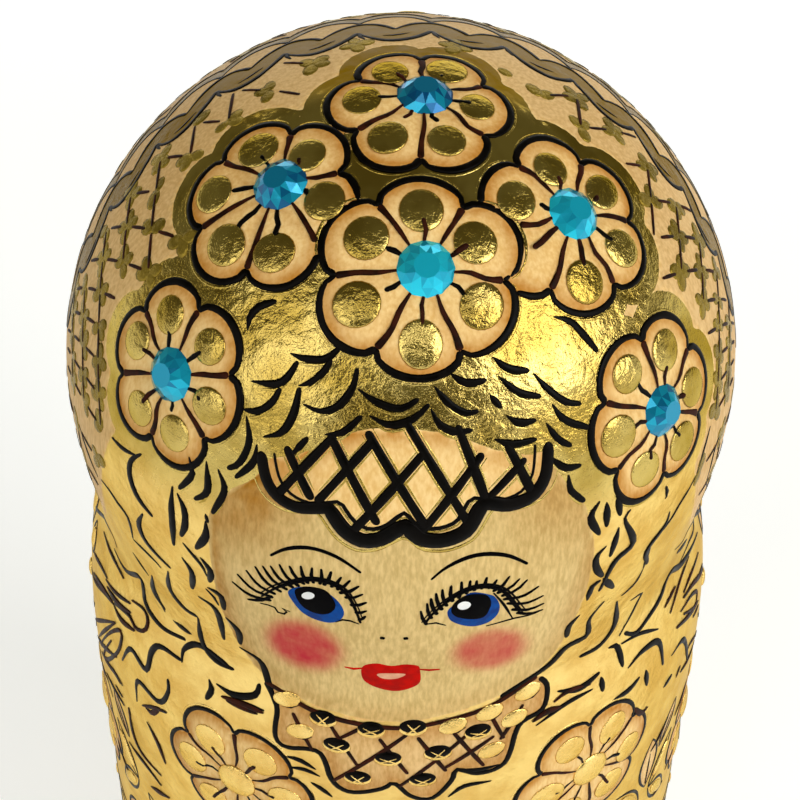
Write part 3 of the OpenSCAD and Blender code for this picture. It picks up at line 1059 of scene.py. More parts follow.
# The face, on the enlarged drawing of it
LEFT_IRIS = [
    (345, 285), (365, 320), (400, 360), (450, 388), (510, 402), (550, 390), (565, 365), (550, 330),
    (520, 300), (470, 270), (400, 262), (360, 268),
]
LEFT_PUPIL = [
    (372, 275), (385, 315), (420, 350), (470, 368), (515, 362), (532, 335), (520, 305), (490, 275),
    (440, 262), (400, 262),
]
RIGHT_IRIS = [
    (970, 370), (985, 395), (1030, 412), (1080, 415), (1130, 400), (1165, 370), (1175, 335), (1160, 305),
    (1135, 292), (1060, 285), (1000, 330), (975, 350),
]
RIGHT_PUPIL = [
    (985, 360), (1010, 380), (1060, 388), (1110, 380), (1135, 350), (1140, 315), (1120, 292), (1060, 290),
    (1015, 310), (990, 335),
]
GLINTS = (((425, 293), (27, 15), 0), ((1035, 332), (28, 16), -15))
LIDS = [
    [(240, 300), (300, 265), (370, 245), (430, 235), (500, 245), (560, 275), (600, 330), (630, 405)],
    [
        (880, 410), (905, 375), (950, 335), (1000, 300), (1060, 272), (1120, 262), (1170, 270), (1210, 295),
        (1240, 330), (1265, 360),
    ],
]
LID_LINES = [
    [(530, 400), (570, 390), (625, 408)], [(880, 410), (910, 402), (935, 405), (965, 413)],
    [(1120, 415), (1160, 405), (1230, 385), (1300, 370), (1345, 350)],
    [(235, 325), (290, 340), (310, 365), (345, 365), (320, 345), (355, 360)],
    [(1150, 285), (1190, 330), (1225, 385)], [(1185, 280), (1220, 318), (1255, 365)],
]
LASHES = [
    [(250, 300), (125, 240)], [(260, 285), (145, 210)], [(275, 272), (180, 195)],
    [(300, 262), (215, 180)], [(325, 255), (245, 178)], [(350, 248), (275, 178)],
    [(375, 243), (310, 172)], [(400, 238), (350, 178)], [(420, 236), (395, 178)],
    [(445, 236), (440, 185)], [(470, 240), (475, 190)], [(490, 245), (515, 200)],
    [(520, 255), (555, 222)], [(545, 265), (590, 235)], [(560, 280), (625, 258)],
    [(580, 300), (640, 290)], [(600, 330), (655, 322)], [(615, 360), (655, 355)],
    [(625, 390), (650, 375)], [(265, 300), (185, 310)], [(885, 400), (865, 355)],
    [(905, 375), (890, 325)], [(925, 358), (905, 305)], [(945, 340), (925, 285)],
    [(965, 325), (950, 270)], [(990, 308), (985, 255)], [(1015, 295), (1025, 240)],
    [(1045, 280), (1060, 235)], [(1075, 270), (1085, 235)], [(1105, 262), (1125, 222)],
    [(1135, 262), (1165, 232)], [(1160, 268), (1215, 218)], [(1180, 275), (1255, 228)],
    [(1200, 285), (1285, 232)], [(1215, 300), (1330, 258)], [(1230, 320), (1348, 295)],
    [(1245, 345), (1350, 325)], [(1260, 360), (1345, 350)],
]
BROWS = [
    [(275, 140), (330, 115), (400, 107), (470, 118), (550, 152), (632, 208)],
    [(905, 235), (960, 190), (1040, 150), (1120, 133), (1210, 140), (1285, 172)],
]
NOSTRILS = [[(705, 461), (725, 464)], [(797, 465), (817, 463)]]
LIPS = [
    (632, 600), (640, 572), (690, 562), (750, 572), (800, 566), (850, 570), (862, 585), (862, 635),
    (820, 660), (760, 670), (690, 655), (645, 630),
]
LIP_GAP = [(695, 600), (740, 597), (805, 600), (780, 615), (745, 620), (710, 615)]
LIP_CORNERS = [[(565, 575), (600, 583), (640, 580)], [(855, 585), (900, 588), (942, 585)]]


def on_face(points, closed=False):
    """Places on the skin along a line of the enlarged drawing of the face."""
    return seen(face_pixels(curve_through(points, closed, fine=4)))


def draw_face():
    """Eyes, lashes, brows, nose and lips."""
    for outline in (LEFT_IRIS, RIGHT_IRIS):
        pad("iris", on_face(outline, True))
    for outline in (LEFT_PUPIL, RIGHT_PUPIL):
        pad("ink", on_face(outline, True))
    for middle, size, tilt in GLINTS:
        turn = np.linspace(0, 2 * math.pi, 20, endpoint=False)
        c, s = math.cos(math.radians(tilt)), math.sin(math.radians(tilt))
        u, v = size[0] * np.cos(turn), size[1] * np.sin(turn)
        outline = np.column_stack([middle[0] + u * c - v * s, middle[1] + u * s + v * c])
        pad("white", seen(face_pixels(outline)))
    for line in LIDS:
        stroke("lid", on_face(line)[::2])
        middle = np.mean(line, axis=0) + np.array([0, 60])
        stroke("lid_fold", on_face(middle + 1.09 * (np.array(line) - middle))[1:-1:2])
    for line in LID_LINES:
        stroke("lid_line", on_face(line)[::2])
    for root, tip in np.array(LASHES, float):
        root = root - 0.25 * (tip - root)
        way = 1 if tip[0] < root[0] else -1
        bend = (root + tip) / 2 + 0.1 * way * np.array([tip[1] - root[1], root[0] - tip[0]])
        stroke("lash", seen(face_pixels([root, bend, tip])))
    for line in BROWS:
        stroke("brow", on_face(line)[::2])
    for line in NOSTRILS:
        stroke("nostril", seen(face_pixels(line)))
    pad("lip", on_face(LIPS, True))
    pad("pale", on_face(LIP_GAP, True))
    for line in LIP_CORNERS:
        stroke("lip_corner", on_face(line))


def add_leaf(turn, z, lean, long, wide, bare):
    """Adds a leaf where it keeps clear of the flowers, the apron and the other leaves."""
    leaf = Leaf(turn, z, lean, long, wide, bare)
    edge = np.vstack([leaf.at(np.linspace(-1, 1, 9), side) for side in (-1, 1)])
    gap = np.minimum.reduce([flower.fields(edge)[0] for flower in flowers])
    clear = (gap > 0.7).all() and (apron_field(edge) > 0.9).all()
    if clear and all((other.field(edge) > 0.2).all() for other in leaves):
        leaves.append(leaf)


# A spray's upper and lower leaf: distance from its middle, half length and half width
SPRAY_END = (7.4, 5.6, 2.1)
# Its pairs of leaves: to the side, up, lean, half length, half width, and whether bare
SPRAY_PAIRS = ((4.3, 3.5, 48, 4.6, 1.6, False), (4.6, 11.5, 60, 3.9, 1.5, True))
# Radius that turns a distance to the side into degrees
SPRAY_BODY_R = 37


def add_spray(turn, z, size):
    """A spray of leaves round one place: one up, one down and two pairs between."""
    reach, long, wide = SPRAY_END
    for lean, way in ((0, 1), (180, -1)):
        add_leaf(turn, z + way * reach * size, lean, long * size, wide * size, True)
    wide_turn = math.degrees(size / SPRAY_BODY_R)
    for side in (-1, 1):
        for way in (-1, 1):
            for aside, up, lean, long, wide, bare in SPRAY_PAIRS:
                place = turn + side * aside * wide_turn
                way_lean = side * (90 - way * lean)
                add_leaf(place, z + way * up * size, way_lean, long * size, wide * size, bare)


def draw_leaf(leaf):
    """Edges of a leaf, with a burnt vein on a bare one and a gold drop on the others."""
    share = np.linspace(-1, 1, 13)
    for side in (-1, 1):
        stroke("leaf_edge", leaf.at(share, side))
    if leaf.bare:
        stroke("leaf_vein", leaf.at(np.linspace(-0.85, 0.45, 5), 0.0))
    else:
        drop("leaf", leaf.chart.middle, leaf.along, (0.62 * leaf.long, 0.62 * leaf.wide, 0.34))


# Turns and sizes of the sprays between the flowers, and turns of the skirt's leaves
CHEST_SPRAYS, CHEST_SPRAY_SIZE = (52, 96.5, 139.5, 180, 220.5, 263.5, 308), 0.86
SKIRT_SPRAYS, SKIRT_SPRAY_SIZE = (81.5, 129, 180, 231, 278.5), 1.1
SKIRT_LEAVES = (41, 58, 105, 153, 207, 255, 302, 319)
# Heights of the row of leaves under the chest flowers and of the frieze over the kerchief's hem
FRONT_ROW_Z = 87.5
FRIEZE_Z = 127.5
FRIEZE_START, FRIEZE_STEP, FRIEZE_COUNT = 82, 13.05, 16
# Half length and half width of single leaves
LONG_LEAF, SHORT_LEAF, FRIEZE_LEAF, FRIEZE_BUD = (4.6, 1.6), (4.2, 1.5), (5.6, 2.0), (2.6, 1.1)
for turn in CHEST_SPRAYS:
    add_spray(turn, CHEST_Z, CHEST_SPRAY_SIZE)
for turn in SKIRT_SPRAYS:
    add_spray(turn, SKIRT_Z, SKIRT_SPRAY_SIZE)
for turn in SKIRT_LEAVES:
    for way in (-1, 1):
        for side in (-1, 1):
            add_leaf(turn + side * 8, SKIRT_Z + way * 18, side * (90 - way * 25), *LONG_LEAF, side == way)
            add_leaf(turn + side * 15, SKIRT_Z + way * 12, side * (90 - way * 65), *SHORT_LEAF, True)
for turn in range(-44, 45, 11):
    add_leaf(turn, FRONT_ROW_Z, 0, *SHORT_LEAF, turn % 2 == 0)
for k in range(FRIEZE_COUNT):
    turn = FRIEZE_START + FRIEZE_STEP * k
    add_leaf(turn, FRIEZE_Z, 0, *FRIEZE_LEAF, k % 2 == 0)
    add_leaf(turn + 6.5, FRIEZE_Z - 3.5, 0, *FRIEZE_BUD, False)


def ring_line(pen, z):
    stroke(pen, skin.at(np.arange(0, 360, 4), z), closed=True)


# The kerchief's hem: its height, its scallops, and the turns that it runs between
HEM_Z = 112.0
HEM_SCALLOPS = 18
HEM_START, HEM_END = 72, 288
HEM_DEPTH, HEM_SWELL = 2.2, 1.6
# How far over the hem lie its inner line, its leaves and the places that they point to
HEM_INNER_RISE, HEM_LEAF_RISES = 3.5, (5.6, 4)
# Scallops along the foot of the lattice behind the head: turns, number and depth
FOOT_START, FOOT_END, FOOT_SCALLOPS, FOOT_DEPTH = 66, 294, 30, 1.5
# Scallops along each side of the seam, and grains of gold round the foot
SEAM_SCALLOPS = 40
FOOT_GRAINS = 48
FOOT_GRAIN_Z = 8.3
# Distances of rings and scallops from the seam, and heights of the rings at the foot
SEAM_WIDE, SEAM_THIN, SEAM_NEAR, SEAM_FAR = 2.2, 9.5, 3.2, 8.2
FOOT_WIDE_Z, FOOT_THIN_Z = 5.2, 11.5
# Spacing in height and slope of the apron's lines, and spacing of its leaves in turn and height
APRON_LINE_STEP, APRON_LINE_SLOPE = 7.0, 0.62
APRON_LEAF_TURN, APRON_LEAF_STEP = 11.3, 3.5
# Scallops along the apron's sides and ends: their number, and their depth in degrees or millimetres
APRON_SCALLOPS, APRON_SIDE_DEPTH, APRON_END_DEPTH = 6, 3.2, 1.6


def draw_body():
    """Hem of the kerchief round the back, the seam's border, and the lower half."""

    def hem(share, depth):
        return skin.at(share, HEM_Z - HEM_SWELL * depth)

    def hem_inner(share, depth):
        return skin.at(share, HEM_Z + HEM_INNER_RISE - HEM_SWELL * depth)

    def kerchief_foot(share, depth):
        return skin.at(share, HEAD[2] - LATTICE_DROP - depth)

    draw_scallops("kerchief_foot", kerchief_foot, FOOT_START, FOOT_END, FOOT_SCALLOPS, FOOT_DEPTH)
    draw_scallops("hem", hem, HEM_START, HEM_END, HEM_SCALLOPS, HEM_DEPTH)
    draw_scallops("hem_inner", hem_inner, HEM_START, HEM_END, HEM_SCALLOPS, HEM_DEPTH)
    for k in range(HEM_SCALLOPS):
        turn = HEM_START + (HEM_END - HEM_START) * (k + 0.5) / HEM_SCALLOPS
        here = skin.at([turn, turn], [HEM_Z + rise for rise in HEM_LEAF_RISES])
        drop("leaf", here[0], here[1] - here[0], HEM_LEAF)
    for leaf in leaves:
        draw_leaf(leaf)
    for way in (1, -1):
        ring_line("wide_ring", SEAM_Z + way * SEAM_WIDE)
        ring_line("thin_ring", SEAM_Z + way * SEAM_THIN)
    ring_line("wide_ring", FOOT_WIDE_Z)
    ring_line("thin_ring", FOOT_THIN_Z)
    for low, high in ((SEAM_Z + SEAM_NEAR, SEAM_Z + SEAM_FAR), (SEAM_Z - SEAM_FAR, SEAM_Z - SEAM_NEAR)):
        def border(share, depth, low=low, high=high):
            return skin.at(share, low + (high - low) * depth)
        draw_scallops("seam_scallop", border, 0, 360, SEAM_SCALLOPS, 0.9)
        for k in range(SEAM_SCALLOPS):
            turn = 360 / SEAM_SCALLOPS * (k + 0.5)
            here = skin.at([turn, turn], [low + 1.6, low + 2.6])
            drop("grain", here[0], here[1] - here[0], SEAM_GRAIN)
    for k in range(FOOT_GRAINS):
        turn = 360 / FOOT_GRAINS * k
        here = skin.at([turn, turn + 1], FOOT_GRAIN_Z)
        drop("grain", here[0], here[1] - here[0], FOOT_GRAIN)
    for z in np.arange(APRON_LOW - 28, APRON_HIGH + 30, APRON_LINE_STEP):
        for lean in (-1, 1):
            share = np.linspace(-APRON_TURN, APRON_TURN, 60)
            path = skin.at(share, np.clip(z + lean * share * APRON_LINE_SLOPE, 1, SEAM_Z - 1))
            inside = apron_field(path) < -0.4
            runs = np.flatnonzero(np.diff(np.concatenate([[0], inside, [0]])))
            for first, last in zip(runs[::2], runs[1::2]):
                if last - first > 3:
                    stroke("apron_line", path[first:last:3])
    for i, z in enumerate(np.arange(APRON_LOW, APRON_HIGH, APRON_LEAF_STEP)):
        for turn in np.arange(-39.5 + APRON_LEAF_TURN / 2 * (i % 2), 40, APRON_LEAF_TURN):
            here = skin.at([turn, turn], [z + 1.75, z + 2.75])
            if apron_field(here[:1])[0] < -1.3:
                drop("leaf", here[0], here[1] - here[0], APRON_LEAF)
    t = np.linspace(0, 1, 9)
    swell = np.sin(math.pi * t) ** SCALLOP_ROUNDING
    for side in (-1, 1):
        z = np.linspace(APRON_LOW, APRON_HIGH, APRON_SCALLOPS + 1)
        for low, high in zip(z, z[1:]):
            height = low + (high - low) * t
            turn = apron_side(height) + APRON_SIDE_DEPTH * swell
            stroke("apron_edge", skin.at(side * turn, height))
    for z, way in ((APRON_LOW, -1), (APRON_HIGH, 1)):
        half = apron_side(z)
        for k in range(APRON_SCALLOPS):
            height = z + way * APRON_END_DEPTH * swell
            stroke("apron_edge", skin.at(-half + 2 * half * (k + t) / APRON_SCALLOPS, height))


for order, flower in enumerate(flowers):
    draw_flower(flower, flowers[:order], 1.0 if flower.stone else 0.85)
draw_kerchief()
draw_front()
draw_face()
draw_body()


# Materials
def tone(red, green, blue):
    """A colour for a shader from the values that a screen shows."""
    out = []
    for value in (red, green, blue):
        c = value / 255
        out.append(c / 12.92 if c <= 0.04045 else ((c + 0.055) / 1.055) ** 2.4)
    return (*out, 1.0)


class NodeWork:
    """Adds nodes to a tree and joins them."""

    def __init__(self, tree):
        self.tree = tree

    def put(self, kind, inputs=None, out=0, **settings):
        """Adds a node with its inputs and settings, and gives one of its outputs."""
        node = self.tree.nodes.new(kind)
        for key, value in settings.items():
            setattr(node, key, value)
        for key, value in (inputs or {}).items():
            self.feed(node.inputs[key], value)
        return node.outputs[out]

    def feed(self, socket, value):
        """Links a socket to another one, or sets its value."""
        if isinstance(value, bpy.types.NodeSocket):
            self.tree.links.new(value, socket)
        else:
            socket.default_value = value


class Shade(NodeWork):
    """A material, built node by node."""

    def __init__(self, name):
        self.material = bpy.data.materials.new(name)
        self.material.use_nodes = True
        super().__init__(self.material.node_tree)
        self.surface = self.tree.nodes["Principled BSDF"]

    def attribute(self, name):
        return self.put("ShaderNodeAttribute", {}, 2, attribute_name=name)

    def place(self, scale):
        coords = self.put("ShaderNodeTexCoord", {}, 3)
        return self.put("ShaderNodeMapping", {"Vector": coords, "Scale": scale})

    def noise(self, scale, detail=3.0, stretch=(1, 1, 1), rough=0.55):
        return self.put("ShaderNodeTexNoise", {
            "Vector": self.place(stretch), "Scale": scale, "Detail": detail, "Roughness": rough})

    def ramp(self, value, low, high, out_low=0.0, out_high=1.0):
        """A value taken softly from one range to another."""
        return self.put("ShaderNodeMapRange", {
            0: value, 1: low, 2: high, 3: out_low, 4: out_high}, interpolation_type="SMOOTHSTEP")

    def math(self, kind, a, b=0.0):
        return self.put("ShaderNodeMath", {0: a, 1: b}, operation=kind)

    def blend(self, share, a, b, how="MIX"):
        return self.put("ShaderNodeMix", {0: share, 6: a, 7: b}, 2, data_type="RGBA", blend_type=how)

    def mix(self, share, a, b):
        return self.put("ShaderNodeMix", {0: share, 2: a, 3: b}, 0, data_type="FLOAT")

    def bump(self, height, distance, strength=1.0, under=None):
        inputs = {"Height": height, "Distance": distance, "Strength": strength}
        if under is not None:
            inputs["Normal"] = under
        return self.put("ShaderNodeBump", inputs)

    def finish(self, **inputs):
        for key, value in inputs.items():
            self.feed(self.surface.inputs[key.replace("_", " ")], value)
        return self.material


# The polished gold's colours are darker than the satin gold's: painted shade on the upper gold.
GOLD_RICH, GOLD_PALE = tone(160, 134, 60), tone(196, 172, 98)
SATIN_RICH, SATIN_PALE = tone(218, 178, 98), tone(240, 208, 128)
# Dark olive of the band and the crown: a painted dark reflection.
OLIVE_DARK_REFLECTION = tone(136, 104, 8)
WOOD_PALE, WOOD_DEEP = tone(254, 218, 152), tone(238, 190, 114)
# Darker wood of the lattice and the bib: painted shade.
SHADED_TAN_PALE, SHADED_TAN_DEEP = tone(238, 200, 140), tone(212, 168, 104)
FACE_PALE, FACE_DEEP = tone(236, 206, 142), tone(206, 174, 110)
# What scorching, and the shade painted on the face's left side, leave of the wood's own colour, and how the
# edge of gold mirrors
SCORCH_AND_SHADE = (0.55, 0.31, 0.05, 1)
GOLD_RIM = (0.8, 0.68, 0.4, 1)
BLUSH = tone(196, 16, 56)


def gold_look(shade, crumple=None):
    """Colour, roughness and dents of gold leaf, with its creases where it is crumpled."""
    broad = shade.noise(170.0, 3.0)
    creases = shade.noise(1100.0, 4.0, rough=0.65)
    if crumple is not None:
        creases = shade.math("MULTIPLY", creases, crumple)
    colour = shade.blend(shade.ramp(broad, 0.35, 0.65), GOLD_RICH, GOLD_PALE)
    rough = shade.ramp(creases, 0.3, 0.75, 0.0, 0.14)
    dents = shade.bump(broad, 0.0009, 0.5)
    return colour, rough, shade.bump(creases, 0.0002, 0.8, dents)


def wood_look(shade, pale, deep):
    """Colour and pores of turned linden wood, with the grain up the doll."""
    grain = shade.noise(1.0, 4.0, (2900, 2900, 700))
    cloud = shade.noise(60.0, 2.0)
    share = shade.math("ADD", shade.math("MULTIPLY", grain, 0.7), shade.math("MULTIPLY", cloud, 0.3))
    return shade.blend(shade.ramp(share, 0.32, 0.68), deep, pale), grain


def gilded_skin():
    """The outside of a doll: gold, and bare, scorched and painted wood, with painted shade and a painted
    dark reflection in some of its colours.
    """
    shade = Shade("gilded_wood")
    gold, gold_rough, gold_normal = gold_look(shade, shade.attribute("crumple"))
    wood, grain = wood_look(shade, WOOD_PALE, WOOD_DEEP)
    face, _ = wood_look(shade, FACE_PALE, FACE_DEEP)
    # Lattice and bib wood take a darker copy of the wood: painted shade.
    tan, _ = wood_look(shade, SHADED_TAN_PALE, SHADED_TAN_DEEP)
    wood = shade.blend(shade.attribute("tan"), wood, tan)
    wood = shade.blend(shade.ramp(shade.attribute("face"), -0.1, 0.1), wood, face)
    mottle = shade.noise(420.0, 3.0)
    # Scorching, with painted shade on the face's left side, multiplies the wood's colour.
    scorch_and_shade_share = shade.math("MULTIPLY", shade.attribute("burn"), shade.ramp(mottle, 0.2, 0.7, 0.55, 1.0))
    wood = shade.blend(scorch_and_shade_share, wood, SCORCH_AND_SHADE, "MULTIPLY")
    rouge = shade.math("MULTIPLY", shade.attribute("blush"), shade.ramp(mottle, 0.2, 0.75, 0.72, 0.96))
    wood = shade.blend(rouge, wood, BLUSH)
    rag = shade.math("MULTIPLY", shade.math("SUBTRACT", shade.noise(1500.0, 2.0), 0.5), 0.25)
    gilt = shade.ramp(shade.math("ADD", shade.attribute("gild"), rag), -0.03, 0.03)
    # Satin gold below, and polished gold above whose darker colours are painted shade.
    polish = shade.attribute("polish")
    satin = shade.blend(shade.ramp(shade.noise(240.0, 4.0), 0.3, 0.7), SATIN_RICH, SATIN_PALE)
    # Band and crown turn dark olive and lose their metal: a painted dark reflection.
    olive = shade.attribute("olive")
    gold = shade.blend(olive, shade.blend(polish, satin, gold), OLIVE_DARK_REFLECTION)
    sheen = shade.math("ADD", shade.mix(polish, 0.3, 0.08), shade.math("MULTIPLY", olive, 0.16))
    rough = shade.mix(gilt, 0.42, shade.math("ADD", sheen, gold_rough))
    wood_normal = shade.bump(grain, 0.00003, 0.5)
    normal = shade.put("ShaderNodeMix", {0: gilt, 4: wood_normal, 5: gold_normal}, 1, data_type="VECTOR")
    metal = shade.math("MULTIPLY", gilt, shade.ramp(olive, 0.0, 1.0, 1.0, 0.02))
    colour = shade.blend(gilt, wood, gold)
    return shade.finish(Base_Color=colour, Metallic=metal, Roughness=rough, Normal=normal,
                        IOR=1.15, Specular_IOR_Level=0.3, Specular_Tint=GOLD_RIM)


def gold_leaf(name, rich=None, pale=None, rough_by=0.1, metal=1.0):
    """Raised gold leaf, in the colours of the polished gold or in its own."""
    shade = Shade(name)
    gold, rough, normal = gold_look(shade)
    if rich is not None:
        gold = shade.blend(shade.ramp(shade.noise(240.0, 4.0), 0.3, 0.7), rich, pale)
    rough = shade.math("ADD", rough, rough_by)
    return shade.finish(Base_Color=gold, Metallic=metal, Roughness=rough, Normal=normal,
                        Specular_IOR_Level=0.15, Specular_Tint=GOLD_RIM)


def raw_wood():
    """Bare wood of the inside, with the rings that turning leaves."""
    shade = Shade("turned_wood")
    wood, grain = wood_look(shade, tone(236, 208, 162), tone(206, 166, 112))
    wave = {"Vector": shade.place((1, 1, 1)), "Scale": 620.0, "Distortion": 1.5, "Detail": 2.0}
    rings = shade.put("ShaderNodeTexWave", wave, 1, bands_direction="Z")
    marks = shade.math("ADD", shade.math("MULTIPLY", rings, 0.5), grain)
    return shade.finish(Base_Color=wood, Roughness=shade.ramp(grain, 0.3, 0.7, 0.5, 0.68),
                        Normal=shade.bump(marks, 0.00006, 0.5))


def paint_look(name, colour, darker, gloss=0.28, shine=0.5):
    """Brushed paint or a burnt line, a little uneven in tone and gloss."""
    shade = Shade(name)
    cloud = shade.noise(800.0, 3.0)
    return shade.finish(Base_Color=shade.blend(shade.ramp(cloud, 0.35, 0.65), darker, colour),
                        Roughness=shade.ramp(cloud, 0.3, 0.7, gloss, gloss + 0.2),
                        Normal=shade.bump(shade.noise(2200.0, 2.0), 0.00002, 0.5), Specular_IOR_Level=shine)


def cut_stone():
    """Foil-backed stone, whose facets differ in a painted brightness: painted reflection."""
    shade = Shade("cut_stone")
    glint = shade.attribute("glint")
    colour = shade.blend(glint, tone(0, 78, 128), tone(28, 206, 236))
    rough = shade.ramp(shade.noise(900.0, 2.0), 0.3, 0.8, 0.05, 0.14)
    return shade.finish(Base_Color=colour, Metallic=0.4, Roughness=rough, IOR=1.5,
                        Specular_Tint=(0.4, 0.8, 1, 1), Coat_Weight=0.2, Coat_Roughness=0.02)


LOOKS = {
    "skin": gilded_skin(),
    "gold": gold_leaf("gold_leaf"),
    "satin": gold_leaf("satin_leaf", SATIN_RICH, SATIN_PALE, 0.2),
    "olive": gold_leaf("olive_leaf", tone(112, 92, 26), tone(150, 126, 48), 0.2, 0.5),
    "wood": raw_wood(),
    "black": paint_look("burnt_black", tone(9, 6, 4), tone(3, 2, 1), 0.3, 0.05),
    "brown": paint_look("burnt_brown", tone(58, 22, 8), tone(26, 9, 3), 0.4, 0.06),
    "ink": paint_look("black_paint", tone(5, 4, 5), tone(1, 1, 2), 0.5, 0.02),
    "iris": paint_look("blue_paint", tone(8, 72, 152), tone(2, 50, 122), 0.4, 0.06),
    "white": paint_look("white_paint", tone(252, 252, 250), tone(236, 238, 240), 0.3),
    "lip": paint_look("red_paint", tone(200, 14, 6), tone(172, 6, 2), 0.4, 0.03),
    "pale": paint_look("pale_paint", tone(238, 186, 150), tone(224, 160, 124), 0.35, 0.2),
    "stone": cut_stone(),
}


# Geometry node trees
def new_tree(name, inputs):
    tree = bpy.data.node_groups.new(name, "GeometryNodeTree")
    tree.interface.new_socket("Geometry", in_out="INPUT", socket_type="NodeSocketGeometry")
    for label, kind, value in inputs:
        socket = tree.interface.new_socket(label, in_out="INPUT", socket_type=kind)
        if value is not None:
            socket.default_value = value
    tree.interface.new_socket("Geometry", in_out="OUTPUT", socket_type="NodeSocketGeometry")
    return tree


class Wiring(NodeWork):
    """A geometry tree, built node by node."""

    def __init__(self, tree):
        super().__init__(tree)
        self.given = tree.nodes.new("NodeGroupInput").outputs

    def named(self, name, kind):
        return self.put("GeometryNodeInputNamedAttribute", {"Name": name}, data_type=kind)

    def vector(self, operation, a, b=None, scale=None, out=0):
        inputs = {0: a}
        if b is not None:
            inputs[1] = b
        if scale is not None:
            inputs["Scale"] = scale
        return self.put("ShaderNodeVectorMath", inputs, out, operation=operation)

    def close(self, geometry):
        """Makes the result real, smooth and painted, and ends the tree."""
        realized = self.put("GeometryNodeRealizeInstances", {0: geometry})
        shaded = self.put("GeometryNodeSetShadeSmooth", {0: realized, "Shade Smooth": True})
        painted = self.put("GeometryNodeSetMaterial", {0: shaded, "Material": self.given["Material"]})
        end = self.tree.nodes.new("NodeGroupOutput")
        self.tree.links.new(painted, end.inputs[0])
        return self.tree


def stroke_tree():
    """Sweeps a flattened round section along each line of edges."""
    tree = new_tree("swept_strokes", [
        ("Sides", "NodeSocketInt", 8), ("Flatness", "NodeSocketFloat", 0.3),
        ("Material", "NodeSocketMaterial", None)])
    w = Wiring(tree)
    curve = w.put("GeometryNodeMeshToCurve", {0: w.given["Geometry"]})
    section = w.put("GeometryNodeCurvePrimitiveCircle", {"Resolution": w.given["Sides"], "Radius": 1.0})
    swept = w.put("GeometryNodeCurveToMesh", {
        "Curve": curve, "Profile Curve": section, "Fill Caps": True,
        "Scale": w.named("half_width", "FLOAT")})
    root = w.named("root", "FLOAT_VECTOR")
    normal = w.named("skin_normal", "FLOAT_VECTOR")
    away = w.vector("SUBTRACT", w.put("GeometryNodeInputPosition"), root)
    height = w.vector("DOT_PRODUCT", away, normal, out=1)
    cut = w.put("ShaderNodeMath", {0: w.given["Flatness"], 1: 1.0}, operation="SUBTRACT")
    drop_by = w.put("ShaderNodeMath", {0: height, 1: cut}, operation="MULTIPLY")
    offset = w.vector("SCALE", normal, scale=drop_by)
    return w.close(w.put("GeometryNodeSetPosition", {0: swept, "Offset": offset}))


def drop_tree():
    """Sets a low lens on each point, flat to the skin and turned along its leaf."""
    tree = new_tree("leaf_drops", [
        ("Segments", "NodeSocketInt", 16), ("Rings", "NodeSocketInt", 8),
        ("Material", "NodeSocketMaterial", None)])
    w = Wiring(tree)
    lens = w.put("GeometryNodeMeshUVSphere", {
        "Segments": w.given["Segments"], "Rings": w.given["Rings"], "Radius": 1.0})
    normal = w.named("skin_normal", "FLOAT_VECTOR")
    stand = w.put("FunctionNodeAlignRotationToVector", {"Vector": normal}, axis="Z")
    turned = w.put("FunctionNodeAlignRotationToVector", {
        "Rotation": stand, "Vector": w.named("along", "FLOAT_VECTOR")}, axis="X", pivot_axis="Z")
    return w.close(w.put("GeometryNodeInstanceOnPoints", {
        "Points": w.given["Geometry"], "Instance": lens, "Rotation": turned,
        "Scale": w.named("size", "FLOAT_VECTOR")}))


TREES = {"stroke": stroke_tree(), "drop": drop_tree()}


def grown(name, mesh, tree, **inputs):
    """Runs a tree on a mesh and keeps the result as a plain mesh object."""
    source = bpy.data.objects.new(name + "_source", mesh)
    bpy.context.scene.collection.objects.link(source)
    modifier = source.modifiers.new("make", "NODES")
    modifier.node_group = tree
    for item in tree.interface.items_tree:
        if item.item_type == "SOCKET" and item.in_out == "INPUT" and item.name in inputs:
            modifier[item.identifier] = inputs[item.name]
    bpy.context.view_layer.update()
    graph = bpy.context.evaluated_depsgraph_get()
    made = bpy.data.meshes.new_from_object(
        source.evaluated_get(graph), preserve_all_data_layers=False, depsgraph=graph)
    bpy.data.objects.remove(source)
    made.name = name
    result = bpy.data.objects.new(name, made)
    bpy.context.scene.collection.objects.link(result)
    return result


def add_attribute(mesh, name, kind, values):
    key = "value" if kind == "FLOAT" else "vector"
    mesh.attributes.new(name, kind, "POINT").data.foreach_set(key, np.asarray(values, np.float32).ravel())


class Level:
    """Where one doll of the set stands, and how large it is beside the outer one."""

    def __init__(self, name):
        self.name = name
        if name == SOLID_LEVEL:
            self.halves = {"whole": "smallest_doll"}
            self.bodies = {"whole": "smallest"}
        else:
            self.halves = {half: f"{name}_{half}_half" for half in ("lower", "upper")}
            self.bodies = {half: f"{name}_{half}" for half in ("lower", "upper")}
        boxes = [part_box(node) for node in self.halves.values()]
        self.base = min(low.z for low, _ in boxes)
        self.size = (max(high.z for _, high in boxes) - self.base) / (TOP_Z * MM)
        self.sides, self.row_step, self.step, self.stroke_sides = DETAIL[name]

    def home(self, points):
        """Points of the outer doll's drawing, in metres, where this doll stands."""
        return points * (MM * self.size) + np.array([0, 0, self.base])


# What each kind of line is made of, how flat it is, and how deep it lies in the skin
LINES = {
    "black": ("black", 0.2, -0.02), "brown": ("brown", 0.2, -0.06), "bead": ("gold", 0.42, 0.03),
    "thread": ("satin", 0.42, 0.03), "fine": ("ink", 0.3, -0.02), "lip": ("lip", 0.4, 0.0),
}
# What each kind of drop is made of, and how finely
DROP_LOOK = {
    "leaf": ("gold", 2), "soft": ("satin", 2), "dot": ("olive", 1), "grain": ("satin", 1),
    "hole": ("black", 2),
}


# The share of a line's length that tapers, and the unevenness of the hand
TAPER_SHARE = 0.4
HAND_RANGE, HAND_POINTS = (0.88, 1.1), 7


